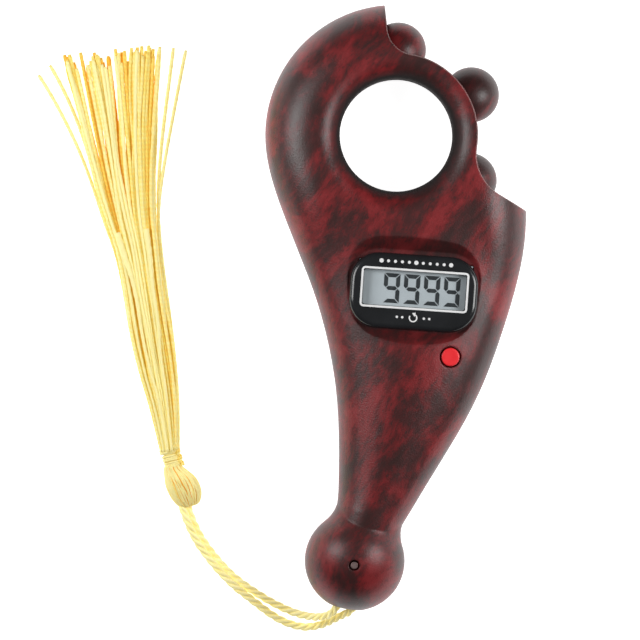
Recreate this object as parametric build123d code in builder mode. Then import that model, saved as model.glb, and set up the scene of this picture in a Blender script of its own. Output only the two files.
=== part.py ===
from build123d import *
import math
import os

os.makedirs("parts", exist_ok=True)

# Frame: origin at the centre of the finger hole on the parting plane of the casing.
# X runs along the display, Y from the ball towards the finger ring, Z out of the face. Millimetres.

# Casing form
HALF_THICKNESS = 9.6  # parting plane to the crown of either face
WALL = 1.9
BACK_FLAT = 0.4  # shaved off the back, so that it lies still
HEAD_MARGIN = 3.45  # from the beads' reach to the rim of the head
HEAD_CROWN = 0.3  # degrees, slope of the face where the rim's roll begins
FINGER_RADIUS = 11.0
FINGER_ROLL = 4.6  # rounding from the finger hole to the face
RING_WIDTH = 4.8  # ring left standing between the finger hole and the bead window

# Handle sections: y, left edge, right edge, half thickness, slope where the roll begins (degrees)
HANDLE_SECTIONS = [
    (-8.0, -24.3, 26.0, 9.6, 0.4),
    (-16.0, -21.2, 26.5, 9.6, 4.0),
    (-24.0, -17.4, 26.0, 9.6, 15.0),
    (-32.0, -13.7, 24.5, 9.6, 20.0),
    (-40.0, -10.8, 22.5, 9.6, 22.0),
    (-48.0, -8.7, 20.0, 9.4, 25.0),
    (-56.0, -7.4, 16.6, 8.9, 30.0),
    (-64.0, -6.7, 12.5, 8.2, 38.0),
]

# Ball and neck at the tail
BALL_X = -2.28
BALL_Y = -83.25
BALL_RADIUS = 9.75
TAIL_TILT = 13.9  # degrees, lean of the neck away from Y
NECK_DISTANCE = 9.5  # ball centre to the waist of the neck
NECK_RADIUS = 6.7  # half the waist's width
NECK_HALF = 7.5  # half its thickness
NECK_ROOT_RADIUS = 5.6  # the same two where the neck ends, at the ball's centre
NECK_ROOT_HALF = 6.7
NECK_SLOPE = 45.0  # degrees, slope of the neck where its roll begins

# Bead window in the head, an annular sector with rounded inner corners
WINDOW_START = -26.2
WINDOW_END = 99.0
WINDOW_LOW_CORNER = 9.0
WINDOW_HIGH_CORNER = 5.5

# Bead wheel
BEAD_COUNT = 6
BEAD_PHASE = 32.5
BEAD_RADIUS = 5.4
BEAD_INSET = 3.8  # finger tube to the bead centres
BEAD_CLEARANCE = 0.6
RUNNING_FIT = 0.08
SLEEVE_WALL = 1.2
SLEEVE_HALF = 4.6
STOP_GAP = 0.15
STOP_WIDTH = 0.9
MAGNET_RADIUS = 1.5
MAGNET_LENGTH = 2.0
MAGNET_FIT = 0.05

# Display
DISPLAY_X = 5.55
DISPLAY_Y = -29.75
BEZEL_X = DISPLAY_X - 0.1
BEZEL_Y = DISPLAY_Y - 0.55
BEZEL_LENGTH = 24.9
BEZEL_HEIGHT = 14.7
BEZEL_CORNER = 5.6
BEZEL_THICKNESS = 1.5
BEZEL_ROLL = 1.1
POCKET_DEPTH = 2.0  # crown of the face to the pocket floor
POCKET_SLOPE = 52.0  # degrees, lean of the pocket wall
POCKET_GAP = 0.25
POCKET_STEP = 0.5  # more floor than that above the bezel
PAD_MARGIN = 2.2
PAD_THICKNESS = 2.0
VIEW_LENGTH = 19.9
VIEW_HEIGHT = 6.9
PANE_LIP = 0.5  # the clear pane reaches this far under the bezel
PANE_THICKNESS = 0.7  # of the lip; the pane itself fills the bezel's opening
PANE_GAP = 0.05
PANE_SINK = 0.08
LCD_LENGTH = 22.0
LCD_HEIGHT = 10.5
LCD_THICKNESS = 2.0
LCD_GAP = 0.2
LCD_SINK = 0.1  # air between the pane and the panel
STRIP_WIDTH = 1.6
STRIP_LENGTH = 20.0

# Circuit board and what it carries
BOARD_X = 5.6
BOARD_Y = -35.0
BOARD_LENGTH = 24.0
BOARD_HEIGHT = 23.0
BOARD_THICKNESS = 1.0
BOARD_TOP = 1.5
BOARD_SCREWS = [(-3.4, -42.5), (14.6, -37.0)]
POST_RADIUS = 1.7
REED_RADIUS = 0.9
REED_LENGTH = 7.0
REED_Y = -24.8
BLOB_RADIUS = 3.5
BLOB_HEIGHT = 1.3
BLOB_X = 9.5
BLOB_Y = -42.0

# Reset button and its switch
RESET_X = 13.4
RESET_Y = -42.3
BUTTON_RADIUS = 1.78
BUTTON_GAP = 0.3
BUTTON_PROUD = 0.2
BUTTON_TRAVEL = 0.4
SLEEVE_FOOT = 6.0  # underside of the button's guide in the front shell
GUIDE_RADIUS = 3.4
FLANGE_RADIUS = 2.7
FLANGE_THICKNESS = 0.6
SWITCH_SIZE = 6.0
SWITCH_HEIGHT = 3.0
PLUNGER_RADIUS = 1.7

# Battery
CELL_RADIUS = 5.8
CELL_HEIGHT = 5.4
CELL_X = 5.0
CELL_Y = -32.2
COVER_LENGTH = 15.6
COVER_HEIGHT = 21.6
COVER_CORNER = 2.5
COVER_DEPTH = 2.0  # crown of the back to the inside of the cover
COVER_GAP = 0.15
COVER_LEDGE = 1.5
COVER_SCREW_DROP = 10.2  # cell centre to the cover's screw
WELL_WALL = 1.6
WELL_TOP = -2.0
CONTACT_THICKNESS = 0.3
CONTACT_WIDTH = 4.0

# Casing screws
CASE_SCREWS = [(21.0, -17.5), (-12.5, -24.5), (2.5, -60.0)]
BOSS_RADIUS = 2.6
REAR_BOSS_RADIUS = 3.2
SCREW_RADIUS = 0.8
SCREW_LENGTH = 9.0
SCREW_HEAD_RADIUS = 2.0
SCREW_HEAD_HEIGHT = 1.4
SCREW_SEAT = -4.5
SMALL_SCREW_RADIUS = 0.65
SMALL_HEAD_RADIUS = 1.5
SMALL_HEAD_HEIGHT = 0.8
SCREW_GAP = 0.05

# Cord, pin and tassel
CORD_RADIUS = 0.775
CORD_TILT = 7.0  # degrees, lean of the cord's way out of the ball
PIN_DROP = 0.6  # ball centre to the pin
PIN_RADIUS = 0.75
PIN_FIT = 0.03
PIN_SINK = 0.4
DIMPLE_RADIUS = 1.05
DIMPLE_DEPTH = 0.9
LOOP_GAP = 0.1
SLOT_GAP = 0.3
SLOT_HALF_HEIGHT = 1.45
TASSEL_TILT = 21.0  # degrees, lean of the tassel's head away from Y
TASSEL_X = -36.2
TASSEL_Y = -75.1
TASSEL_Z = -5.8
BULB_RADIUS = 3.35
BULB_LENGTH = 7.4
STEM_RADIUS = 1.4
STEM_LENGTH = 4.4
THREAD_RADIUS = 0.3
THREAD_PITCH = 1.05
THREAD_TURNS = 3.5
SKIRT_LENGTH = 79.0
SKIRT_TILT = 12.0  # degrees, lean of the skirt away from Y
SKIRT_DROP = 1.35
SKIRT_HALF_WIDTH = 8.2
SKIRT_HALF_HEIGHT = 1.6
SKIRT_ROWS = [(-1.0, 18, 10.0), (0.0, 19, 14.0), (1.0, 18, 12.0)]
STRAND_ROOT = 0.09
STRAND_TIP = 0.27
COLLAR_SHARE = 0.2

# Derived positions
TUBE_RADIUS = FINGER_RADIUS + WALL
WINDOW_RADIUS = FINGER_RADIUS + RING_WIDTH
ROLL_RADIUS = FINGER_RADIUS + FINGER_ROLL
BEAD_PITCH = TUBE_RADIUS + BEAD_INSET
HEAD_RADIUS = BEAD_PITCH + BEAD_RADIUS + HEAD_MARGIN
STOP_HEIGHT = SLEEVE_HALF + STOP_GAP
POCKET_FLOOR = HALF_THICKNESS - POCKET_DEPTH
PAD_FLOOR = POCKET_FLOOR - PAD_THICKNESS
LCD_TOP = POCKET_FLOOR - LCD_SINK
LCD_FLOOR = LCD_TOP - LCD_THICKNESS
BOARD_FLOOR = BOARD_TOP - BOARD_THICKNESS
COVER_PLANE = COVER_DEPTH - HALF_THICKNESS
REST_PLANE = BACK_FLAT - HALF_THICKNESS
CELL_TOP = COVER_PLANE + CELL_HEIGHT
COVER_Y = CELL_Y + CELL_RADIUS + 0.2 + COVER_LEDGE - COVER_HEIGHT / 2
COVER_SCREW_Y = CELL_Y - COVER_SCREW_DROP
FLANGE_FLOOR = SLEEVE_FOOT - 0.1 - FLANGE_THICKNESS
tail_up = Vector(math.sin(math.radians(TAIL_TILT)), math.cos(math.radians(TAIL_TILT)), 0)
cord_out = Vector(-math.sin(math.radians(CORD_TILT)), -math.cos(math.radians(CORD_TILT)), 0)
cord_side = Vector(-cord_out.Y, cord_out.X, 0)
ball_centre = Vector(BALL_X, BALL_Y, 0)
pin_centre = ball_centre + cord_out * PIN_DROP
LOOP_RADIUS = PIN_RADIUS + CORD_RADIUS + LOOP_GAP


def polar(radius, angle):
    """A point on a circle round the finger hole."""
    return (radius * math.cos(math.radians(angle)), radius * math.sin(math.radians(angle)))


def oval_radii(half_width, half_thickness, slope):
    """Radii of the side arc and the crown arc of a half oval, tangent where the surface has this slope."""
    s = math.sin(math.radians(slope))
    c = math.cos(math.radians(slope))
    side = (half_width * (1 - c) - half_thickness * s) / (1 - s - c)
    crown = (half_thickness * (1 - s) - half_width * c) / (1 - s - c)
    return side, crown


def half_oval(plane, left, right, half_thickness, slope):
    """Upper half of a casing section: a crown arc between two side arcs, closed along the parting plane."""
    middle = (left + right) / 2
    half_width = (right - left) / 2
    side, crown = oval_radii(half_width, half_thickness, slope)
    s = math.sin(math.radians(slope))
    c = math.cos(math.radians(slope))
    reach = half_width - side + side * s
    h = side * math.sin(math.radians(45 + slope / 2))
    k = side * math.cos(math.radians(45 + slope / 2))
    spots = [
        (left, 0),
        (left + side - h, k),
        (middle - reach, side * c),
        (middle, half_thickness),
        (middle + reach, side * c),
        (right - side + h, k),
        (right, 0),
    ]
    p = [plane.from_local_coords(Vector(*spot)) for spot in spots]
    left_arc = Edge.make_three_point_arc(p[0], p[1], p[2])
    crown_arc = Edge.make_three_point_arc(p[2], p[3], p[4])
    right_arc = Edge.make_three_point_arc(p[4], p[5], p[6])
    return Face(Wire([left_arc, crown_arc, right_arc, Edge.make_line(p[6], p[0])]))


def level(y):
    """Plane across the handle at this y, with Z upwards in it."""
    return Plane(origin=(0, y, 0), x_dir=(1, 0, 0), z_dir=(0, -1, 0))


def casing_form(inset, with_tail):
    """Half of the casing's outer form on the display side, drawn in all round by inset."""
    head = HEAD_RADIUS - inset
    thick = HALF_THICKNESS - inset
    ghost = math.sqrt(HEAD_RADIUS**2 - 64) - inset
    sections = [half_oval(level(8.0), -ghost, ghost, thick, HEAD_CROWN)]
    sections.append(half_oval(level(0.0), -head, head, thick, HEAD_CROWN))
    for y, left, right, half, slope in HANDLE_SECTIONS:
        sections.append(half_oval(level(y), left + inset, right - inset, half - inset, slope))
    if with_tail:
        root_plane = Plane(origin=ball_centre, x_dir=(tail_up.Y, -tail_up.X, 0), z_dir=-tail_up)
        waist_plane = root_plane.offset(-NECK_DISTANCE)
        waist = half_oval(waist_plane, -NECK_RADIUS, NECK_RADIUS, NECK_HALF, NECK_SLOPE)
        root = half_oval(root_plane, -NECK_ROOT_RADIUS, NECK_ROOT_RADIUS, NECK_ROOT_HALF, NECK_SLOPE)
        sections.append(waist)
    with BuildPart() as form:
        loft(sections)
        split(bisect_by=Plane.XZ, keep=Keep.TOP)
        # Upper half of the head, turned about the finger hole from the handle's first section
        side, crown = oval_radii(head, thick, HEAD_CROWN)
        s = math.sin(math.radians(HEAD_CROWN))
        c = math.cos(math.radians(HEAD_CROWN))
        reach = head - side + side * s
        with BuildSketch(Plane.XZ):
            with BuildLine():
                Line((0, 0), (0, thick))
                middle = crown * math.sin(math.radians(HEAD_CROWN / 2))
                rise = crown * math.cos(math.radians(HEAD_CROWN / 2)) - crown + thick
                ThreePointArc((0, thick), (middle, rise), (reach, side * c))
                h = math.sin(math.radians(45 + HEAD_CROWN / 2))
                k = math.cos(math.radians(45 + HEAD_CROWN / 2))
                ThreePointArc((reach, side * c), (head - side + side * h, side * k), (head, 0))
                Line((head, 0), (0, 0))
            make_face()
        revolve(axis=Axis.Z, revolution_arc=180)
        if with_tail:
            # Ball and the hollow of the neck, one profile turned about the tail's own axis
            hollow = (NECK_DISTANCE**2 + NECK_RADIUS**2 - BALL_RADIUS**2) / (2 * (BALL_RADIUS - NECK_RADIUS))
            span = math.hypot(NECK_DISTANCE, NECK_RADIUS + hollow)
            touch = (
                BALL_RADIUS * NECK_DISTANCE / span,
                BALL_RADIUS * (NECK_RADIUS + hollow) / span,
            )
            bend = math.atan2(NECK_DISTANCE - touch[0], NECK_RADIUS + hollow - touch[1]) / 2
            mid_hollow = (
                NECK_DISTANCE - hollow * math.sin(bend),
                NECK_RADIUS + hollow - hollow * math.cos(bend),
            )
            lying = Plane(origin=ball_centre, x_dir=tail_up, z_dir=(0, 0, 1))
            with BuildSketch(lying):
                with BuildLine():
                    ThreePointArc((-BALL_RADIUS, 0), (0, BALL_RADIUS), touch)
                    ThreePointArc(touch, mid_hollow, (NECK_DISTANCE, NECK_RADIUS))
                    Line((NECK_DISTANCE, NECK_RADIUS), (NECK_DISTANCE, 0))
                    Line((NECK_DISTANCE, 0), (-BALL_RADIUS, 0))
                make_face()
            revolve(axis=Axis(ball_centre, tail_up), revolution_arc=180)
            # The neck's face runs on over the hollow and meets the ball's in a crease
            loft([waist, root])
    return form.part


outer = casing_form(0.0, True)
print("casing half form", round(outer.volume), outer.bounding_box())

# Finger hole, rolled over into the face
with BuildPart() as bored:
    add(outer)
    with BuildSketch():
        Circle(FINGER_RADIUS)
    extrude(amount=HALF_THICKNESS + 1, mode=Mode.SUBTRACT)
    mouth_edges = bored.edges().filter_by(
        lambda edge: edge.center().Z > HALF_THICKNESS / 2
        and all(abs(math.hypot(p.X, p.Y) - FINGER_RADIUS) < 0.01 for p in (edge @ 0, edge @ 0.3, edge @ 1))
    )
    fillet(mouth_edges, FINGER_ROLL)
CREST = HALF_THICKNESS
ROLL_START = CREST - FINGER_ROLL

with BuildPart() as cavity:
    add(casing_form(WALL, False))
    # The finger tube, its shoulder that keeps the bead wheel in place, and the wall under the roll stay
    inner_roll = FINGER_ROLL - WALL
    shoulder = TUBE_RADIUS + STOP_WIDTH
    rise = ROLL_START + math.sqrt(inner_roll**2 - (ROLL_RADIUS - shoulder) ** 2)
    lean = math.radians(20)
    with BuildSketch(Plane.XZ):
        with BuildLine():
            Polyline(
                (0, 0),
                (TUBE_RADIUS, 0),
                (TUBE_RADIUS, STOP_HEIGHT),
                (shoulder, STOP_HEIGHT),
                (shoulder, rise),
            )
            ThreePointArc(
                (shoulder, rise),
                (
                    ROLL_RADIUS - inner_roll * math.sin(lean),
                    ROLL_START + inner_roll * math.cos(lean),
                ),
                (ROLL_RADIUS, ROLL_START + inner_roll),
            )
            Polyline(
                (ROLL_RADIUS, ROLL_START + inner_roll),
                (ROLL_RADIUS, HALF_THICKNESS + 1),
                (0, HALF_THICKNESS + 1),
                (0, 0),
            )
        make_face()
    revolve(axis=Axis.Z, mode=Mode.SUBTRACT)

with BuildPart() as tunnel:
    # Way of the beads and of the wheel's sleeve through the end walls of the window
    with BuildSketch(Plane.XZ):
        with Locations((BEAD_PITCH, 0)):
            Circle(BEAD_RADIUS + BEAD_CLEARANCE)
        with Locations((TUBE_RADIUS, 0)):
            Rectangle(SLEEVE_WALL + 0.4, 2 * STOP_HEIGHT, align=(Align.MIN, Align.CENTER))
        with Locations((0, 0)):
            Rectangle(TUBE_RADIUS, 4 * STOP_HEIGHT, align=(Align.MIN, Align.CENTER), mode=Mode.SUBTRACT)
    revolve(axis=Axis.Z)

with BuildSketch() as window:
    far = HEAD_RADIUS + 8
    with BuildLine():
        Line(polar(WINDOW_RADIUS, WINDOW_START), polar(far, WINDOW_START))
        CenterArc((0, 0), far, WINDOW_START, WINDOW_END - WINDOW_START)
        Line(polar(far, WINDOW_END), polar(WINDOW_RADIUS, WINDOW_END))
        CenterArc((0, 0), WINDOW_RADIUS, WINDOW_START, WINDOW_END - WINDOW_START)
    make_face()
    fillet(window.vertices().sort_by_distance(polar(WINDOW_RADIUS, WINDOW_START))[0], WINDOW_LOW_CORNER)
    fillet(window.vertices().sort_by_distance(polar(WINDOW_RADIUS, WINDOW_END))[0], WINDOW_HIGH_CORNER)

with BuildPart() as window_wall:
    with BuildSketch() as rim:
        add(window.sketch)
        offset(amount=WALL)
    extrude(amount=HALF_THICKNESS)
    add(bored.part, mode=Mode.INTERSECT)
    add(tunnel.part, mode=Mode.SUBTRACT)

with BuildPart() as shell_blank:
    add(bored.part)
    add(cavity.part, mode=Mode.SUBTRACT)
    add(window_wall.part)
    with BuildSketch():
        add(window.sketch)
    extrude(amount=HALF_THICKNESS + 1, mode=Mode.SUBTRACT)
    # Channel for the cord's loop, open at the ball's end
    channel_half = LOOP_RADIUS + CORD_RADIUS + SLOT_GAP
    with BuildSketch(Plane(origin=pin_centre, x_dir=cord_out, z_dir=(0, 0, 1))):
        Circle(channel_half)
        Rectangle(BALL_RADIUS + 4, 2 * channel_half, align=(Align.MIN, Align.CENTER))
    extrude(amount=SLOT_HALF_HEIGHT, mode=Mode.SUBTRACT)
    # The mouth of the channel opens out, so that the cord can bend there
    mouth = ball_centre + cord_out * (BALL_RADIUS + 0.9)
    with BuildSketch(Plane(origin=mouth, x_dir=cord_side, z_dir=-cord_out)):
        SlotOverall(2 * channel_half + 3.2, 2 * SLOT_HALF_HEIGHT + 3.2)
    extrude(amount=2.2, taper=38, mode=Mode.SUBTRACT)

button_line = Axis((RESET_X, RESET_Y, 0), (0, 0, 1))
RESET_SURFACE = max(point.Z for point, _ in outer.find_intersection_points(button_line))
print("face height at the reset button", round(RESET_SURFACE, 3))

with BuildPart() as front_inside:
    # Pad under the display, guide of the button, bosses and posts, all kept within the casing's form
    with BuildSketch(Plane.XY.offset(PAD_FLOOR)):
        with Locations((BEZEL_X, BEZEL_Y + POCKET_STEP / 2)):
            RectangleRounded(
                BEZEL_LENGTH + 2 * PAD_MARGIN, BEZEL_HEIGHT + 2 * PAD_MARGIN, BEZEL_CORNER + PAD_MARGIN
            )
    extrude(amount=HALF_THICKNESS)
    with BuildSketch(Plane.XY.offset(SLEEVE_FOOT)):
        with Locations((RESET_X, RESET_Y)):
            Circle(GUIDE_RADIUS)
    extrude(amount=HALF_THICKNESS)
    with BuildSketch():
        with Locations(*CASE_SCREWS):
            Circle(BOSS_RADIUS)
    extrude(amount=HALF_THICKNESS)
    with BuildSketch(Plane.XY.offset(BOARD_TOP)):
        with Locations(*BOARD_SCREWS):
            Circle(POST_RADIUS)
    extrude(amount=HALF_THICKNESS)
    add(outer, mode=Mode.INTERSECT)

with BuildPart() as front_shell:
    add(shell_blank.part)
    add(front_inside.part)
    # Display pocket with its leaning wall, and the opening for the panel
    with BuildSketch(Plane.XY.offset(POCKET_FLOOR)):
        with Locations((BEZEL_X, BEZEL_Y + POCKET_STEP / 2)):
            RectangleRounded(
                BEZEL_LENGTH + 2 * POCKET_GAP,
                BEZEL_HEIGHT + 2 * POCKET_GAP + POCKET_STEP,
                BEZEL_CORNER + POCKET_GAP,
            )
    extrude(amount=POCKET_DEPTH + 1, taper=-POCKET_SLOPE, mode=Mode.SUBTRACT)
    with BuildSketch(Plane.XY.offset(PAD_FLOOR - 1)):
        with Locations((DISPLAY_X, DISPLAY_Y)):
            RectangleRounded(LCD_LENGTH + 2 * LCD_GAP, LCD_HEIGHT + 2 * LCD_GAP, 2 * LCD_GAP)
    extrude(amount=PAD_THICKNESS + 2, mode=Mode.SUBTRACT)
    with BuildSketch(Plane.XY.offset(SLEEVE_FOOT - 1)):
        with Locations((RESET_X, RESET_Y)):
            Circle(BUTTON_RADIUS + BUTTON_GAP)
    extrude(amount=HALF_THICKNESS, mode=Mode.SUBTRACT)
    with BuildSketch(Plane.XY.offset(SLEEVE_FOOT)):
        with Locations((RESET_X, RESET_Y)):
            Circle(FLANGE_RADIUS + 0.4)
    extrude(amount=-3.0, mode=Mode.SUBTRACT)
    with BuildSketch():
        with Locations(*CASE_SCREWS):
            Circle(SCREW_RADIUS + SCREW_GAP)
    extrude(amount=SCREW_LENGTH + SCREW_SEAT + 0.6, mode=Mode.SUBTRACT)
    with BuildSketch(Plane.XY.offset(BOARD_TOP)):
        with Locations(*BOARD_SCREWS):
            Circle(SMALL_SCREW_RADIUS + SCREW_GAP)
    extrude(amount=4.2, mode=Mode.SUBTRACT)
    # Pin bore through the ball, with a dimple round the pin's end
    with BuildSketch():
        with Locations((pin_centre.X, pin_centre.Y)):
            Circle(PIN_RADIUS + PIN_FIT)
    extrude(amount=BALL_RADIUS + 1, mode=Mode.SUBTRACT)
    with BuildSketch(Plane.XY.offset(BALL_RADIUS - DIMPLE_DEPTH)):
        with Locations((pin_centre.X, pin_centre.Y)):
            Circle(DIMPLE_RADIUS)
    extrude(amount=DIMPLE_DEPTH + 1, mode=Mode.SUBTRACT)
front_shell.part.label = "front_shell"
export_step(front_shell.part, "parts/front_shell.step")

outer_back = mirror(outer, about=Plane.XY)
with BuildPart() as rear_inside:
    # Battery well, boss for the cover's screw, casing bosses
    well_length = COVER_LENGTH + 2 * WELL_WALL
    well_height = COVER_HEIGHT + 2 * WELL_WALL
    with BuildSketch(Plane.XY.offset(WELL_TOP)):
        with Locations((CELL_X, COVER_Y)):
            RectangleRounded(well_length, well_height, COVER_CORNER + WELL_WALL)
            RectangleRounded(
                COVER_LENGTH - 2 * COVER_LEDGE,
                COVER_HEIGHT - 2 * COVER_LEDGE,
                COVER_CORNER - COVER_LEDGE,
                mode=Mode.SUBTRACT,
            )
        with Locations((CELL_X, COVER_SCREW_Y)):
            Circle(2.3)
        with Locations((CELL_X, COVER_SCREW_Y - 2.3)):
            Rectangle(4.6, 4.6)
    extrude(amount=-HALF_THICKNESS)
    with BuildSketch():
        with Locations(*CASE_SCREWS):
            Circle(REAR_BOSS_RADIUS)
    extrude(amount=-HALF_THICKNESS)
    add(outer_back, mode=Mode.INTERSECT)
    add(tunnel.part, mode=Mode.SUBTRACT)

with BuildPart() as rear_shell:
    add(mirror(shell_blank.part, about=Plane.XY))
    add(rear_inside.part)
    # Opening under the battery cover, down to the ledge it lies on
    with BuildSketch(Plane.XY.offset(COVER_PLANE)):
        with Locations((CELL_X, COVER_Y)):
            RectangleRounded(COVER_LENGTH, COVER_HEIGHT, COVER_CORNER)
    extrude(amount=-HALF_THICKNESS, mode=Mode.SUBTRACT)
    with BuildSketch(Plane.XY.offset(COVER_PLANE)):
        with Locations((CELL_X, CELL_Y)):
            Circle(CELL_RADIUS + 0.15)
    extrude(amount=CELL_HEIGHT, mode=Mode.SUBTRACT)
    with BuildSketch(Plane.XY.offset(COVER_PLANE)):
        with Locations((CELL_X, COVER_SCREW_Y)):
            Circle(SMALL_SCREW_RADIUS + SCREW_GAP)
    extrude(amount=4.6, mode=Mode.SUBTRACT)
    with BuildSketch():
        with Locations(*CASE_SCREWS):
            Circle(SCREW_RADIUS + 0.3)
    extrude(amount=-HALF_THICKNESS - 1, mode=Mode.SUBTRACT)
    with BuildSketch(Plane.XY.offset(SCREW_SEAT)):
        with Locations(*CASE_SCREWS):
            Circle(SCREW_HEAD_RADIUS + 0.25)
    extrude(amount=-HALF_THICKNESS, mode=Mode.SUBTRACT)
    with BuildSketch():
        with Locations((pin_centre.X, pin_centre.Y)):
            Circle(PIN_RADIUS + PIN_FIT)
    extrude(amount=-7.6, mode=Mode.SUBTRACT)
    # Flat on which it lies
    split(bisect_by=Plane.XY.offset(REST_PLANE), keep=Keep.TOP)
rear_shell.part.label = "rear_shell"
export_step(rear_shell.part, "parts/rear_shell.step")

with BuildPart() as battery_cover:
    with BuildSketch(Plane.XY.offset(COVER_PLANE)):
        with Locations((CELL_X, COVER_Y)):
            RectangleRounded(COVER_LENGTH - 2 * COVER_GAP, COVER_HEIGHT - 2 * COVER_GAP, COVER_CORNER - COVER_GAP)
    extrude(amount=-HALF_THICKNESS)
    add(outer_back, mode=Mode.INTERSECT)
    split(bisect_by=Plane.XY.offset(REST_PLANE), keep=Keep.TOP)
    with BuildSketch(Plane.XY.offset(COVER_PLANE + 1)):
        with Locations((CELL_X, COVER_SCREW_Y)):
            Circle(SMALL_SCREW_RADIUS + 0.2)
    extrude(amount=-HALF_THICKNESS, mode=Mode.SUBTRACT)
    with BuildSketch(Plane.XY.offset(REST_PLANE + SMALL_HEAD_HEIGHT + 0.1)):
        with Locations((CELL_X, COVER_SCREW_Y)):
            Circle(SMALL_HEAD_RADIUS + 0.2)
    extrude(amount=-HALF_THICKNESS, mode=Mode.SUBTRACT)
    # Grip lines for the thumbnail
    with BuildSketch(Plane.XY.offset(REST_PLANE + 0.35)):
        with Locations((CELL_X, COVER_Y + COVER_HEIGHT / 2 - 5)):
            with GridLocations(0, 1.6, 1, 3):
                SlotOverall(7.0, 0.7)
    extrude(amount=-2, mode=Mode.SUBTRACT)
battery_cover.part.label = "battery_cover"
export_step(battery_cover.part, "parts/battery_cover.step")


def screw_solid(points, seat, length, radius, head_radius, head_height):
    """Pan-head screws driven towards the face: heads under the seat, cross recess, pointed shafts."""
    with BuildPart() as screws:
        for x, y in points:
            with BuildSketch(Plane(origin=(x, y, 0), x_dir=(1, 0, 0), z_dir=(0, -1, 0))):
                with BuildLine():
                    Polyline(
                        (0, seat - head_height),
                        (head_radius * 0.75, seat - head_height),
                        (head_radius, seat - head_height * 0.6),
                        (head_radius, seat),
                        (radius, seat),
                        (radius, seat + length - radius),
                        (radius * 0.3, seat + length),
                        (0, seat + length),
                        (0, seat - head_height),
                    )
                make_face()
            revolve(axis=Axis((x, y, 0), (0, 0, 1)))
        with BuildSketch(Plane.XY.offset(seat - head_height)):
            with Locations(*points):
                Rectangle(head_radius * 1.1, head_radius * 0.28)
                Rectangle(head_radius * 0.28, head_radius * 1.1)
        extrude(amount=head_height * 0.6, mode=Mode.SUBTRACT)
    return screws.part


case_screws = screw_solid(
    CASE_SCREWS, SCREW_SEAT, SCREW_LENGTH, SCREW_RADIUS, SCREW_HEAD_RADIUS, SCREW_HEAD_HEIGHT
)
case_screws.label = "case_screws"
export_step(case_screws, "parts/case_screws.step")

cover_screw = screw_solid(
    [(CELL_X, COVER_SCREW_Y)],
    REST_PLANE + SMALL_HEAD_HEIGHT + 0.1,
    4.5,
    SMALL_SCREW_RADIUS,
    SMALL_HEAD_RADIUS,
    SMALL_HEAD_HEIGHT,
)
cover_screw.label = "cover_screw"
export_step(cover_screw, "parts/cover_screw.step")

board_screws = screw_solid(
    BOARD_SCREWS, BOARD_FLOOR, 4.5, SMALL_SCREW_RADIUS, SMALL_HEAD_RADIUS, SMALL_HEAD_HEIGHT
)
board_screws.label = "board_screws"
export_step(board_screws, "parts/board_screws.step")

with BuildPart() as wheel_front:
    # Half of the bead wheel: sleeve that runs on the finger tube, half beads, magnet pockets
    sleeve_bore = TUBE_RADIUS + RUNNING_FIT
    with BuildSketch(Plane.XZ):
        Rectangle(sleeve_bore + SLEEVE_WALL, SLEEVE_HALF, align=(Align.MIN, Align.MIN))
    revolve(axis=Axis.Z)
    with PolarLocations(BEAD_PITCH, BEAD_COUNT, start_angle=BEAD_PHASE):
        Sphere(BEAD_RADIUS)
    split(bisect_by=Plane.XY, keep=Keep.TOP)
    with BuildSketch():
        Circle(sleeve_bore)
    extrude(amount=HALF_THICKNESS, mode=Mode.SUBTRACT)
    with BuildSketch():
        with PolarLocations(BEAD_PITCH, BEAD_COUNT, start_angle=BEAD_PHASE):
            Circle(MAGNET_RADIUS + MAGNET_FIT)
    extrude(amount=MAGNET_LENGTH / 2 + MAGNET_FIT, mode=Mode.SUBTRACT)
wheel_front.part.label = "bead_wheel_front"
export_step(wheel_front.part, "parts/bead_wheel_front.step")

with BuildPart() as wheel_rear:
    add(mirror(wheel_front.part, about=Plane.XY))
wheel_rear.part.label = "bead_wheel_rear"
export_step(wheel_rear.part, "parts/bead_wheel_rear.step")

with BuildPart() as wheel_magnets:
    with BuildSketch(Plane.XY.offset(-MAGNET_LENGTH / 2)):
        with PolarLocations(BEAD_PITCH, BEAD_COUNT, start_angle=BEAD_PHASE):
            Circle(MAGNET_RADIUS)
    extrude(amount=MAGNET_LENGTH)
wheel_magnets.part.label = "wheel_magnets"
export_step(wheel_magnets.part, "parts/wheel_magnets.step")

with BuildPart() as display_bezel:
    with BuildSketch(Plane.XY.offset(POCKET_FLOOR)):
        with Locations((BEZEL_X, BEZEL_Y)):
            RectangleRounded(BEZEL_LENGTH, BEZEL_HEIGHT, BEZEL_CORNER)
    extrude(amount=BEZEL_THICKNESS)
    fillet(display_bezel.faces().sort_by(Axis.Z)[-1].outer_wire().edges(), BEZEL_ROLL)
    with BuildSketch(Plane.XY.offset(POCKET_FLOOR)):
        with Locations((DISPLAY_X, DISPLAY_Y)):
            RectangleRounded(VIEW_LENGTH, VIEW_HEIGHT, 0.6)
    extrude(amount=BEZEL_THICKNESS + 1, mode=Mode.SUBTRACT)
    with BuildSketch(Plane.XY.offset(POCKET_FLOOR)):
        with Locations((DISPLAY_X, DISPLAY_Y)):
            RectangleRounded(
                VIEW_LENGTH + 2 * (PANE_LIP + PANE_GAP), VIEW_HEIGHT + 2 * (PANE_LIP + PANE_GAP), 0.8
            )
    extrude(amount=PANE_THICKNESS, mode=Mode.SUBTRACT)
display_bezel.part.label = "display_bezel"
export_step(display_bezel.part, "parts/display_bezel.step")

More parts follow.
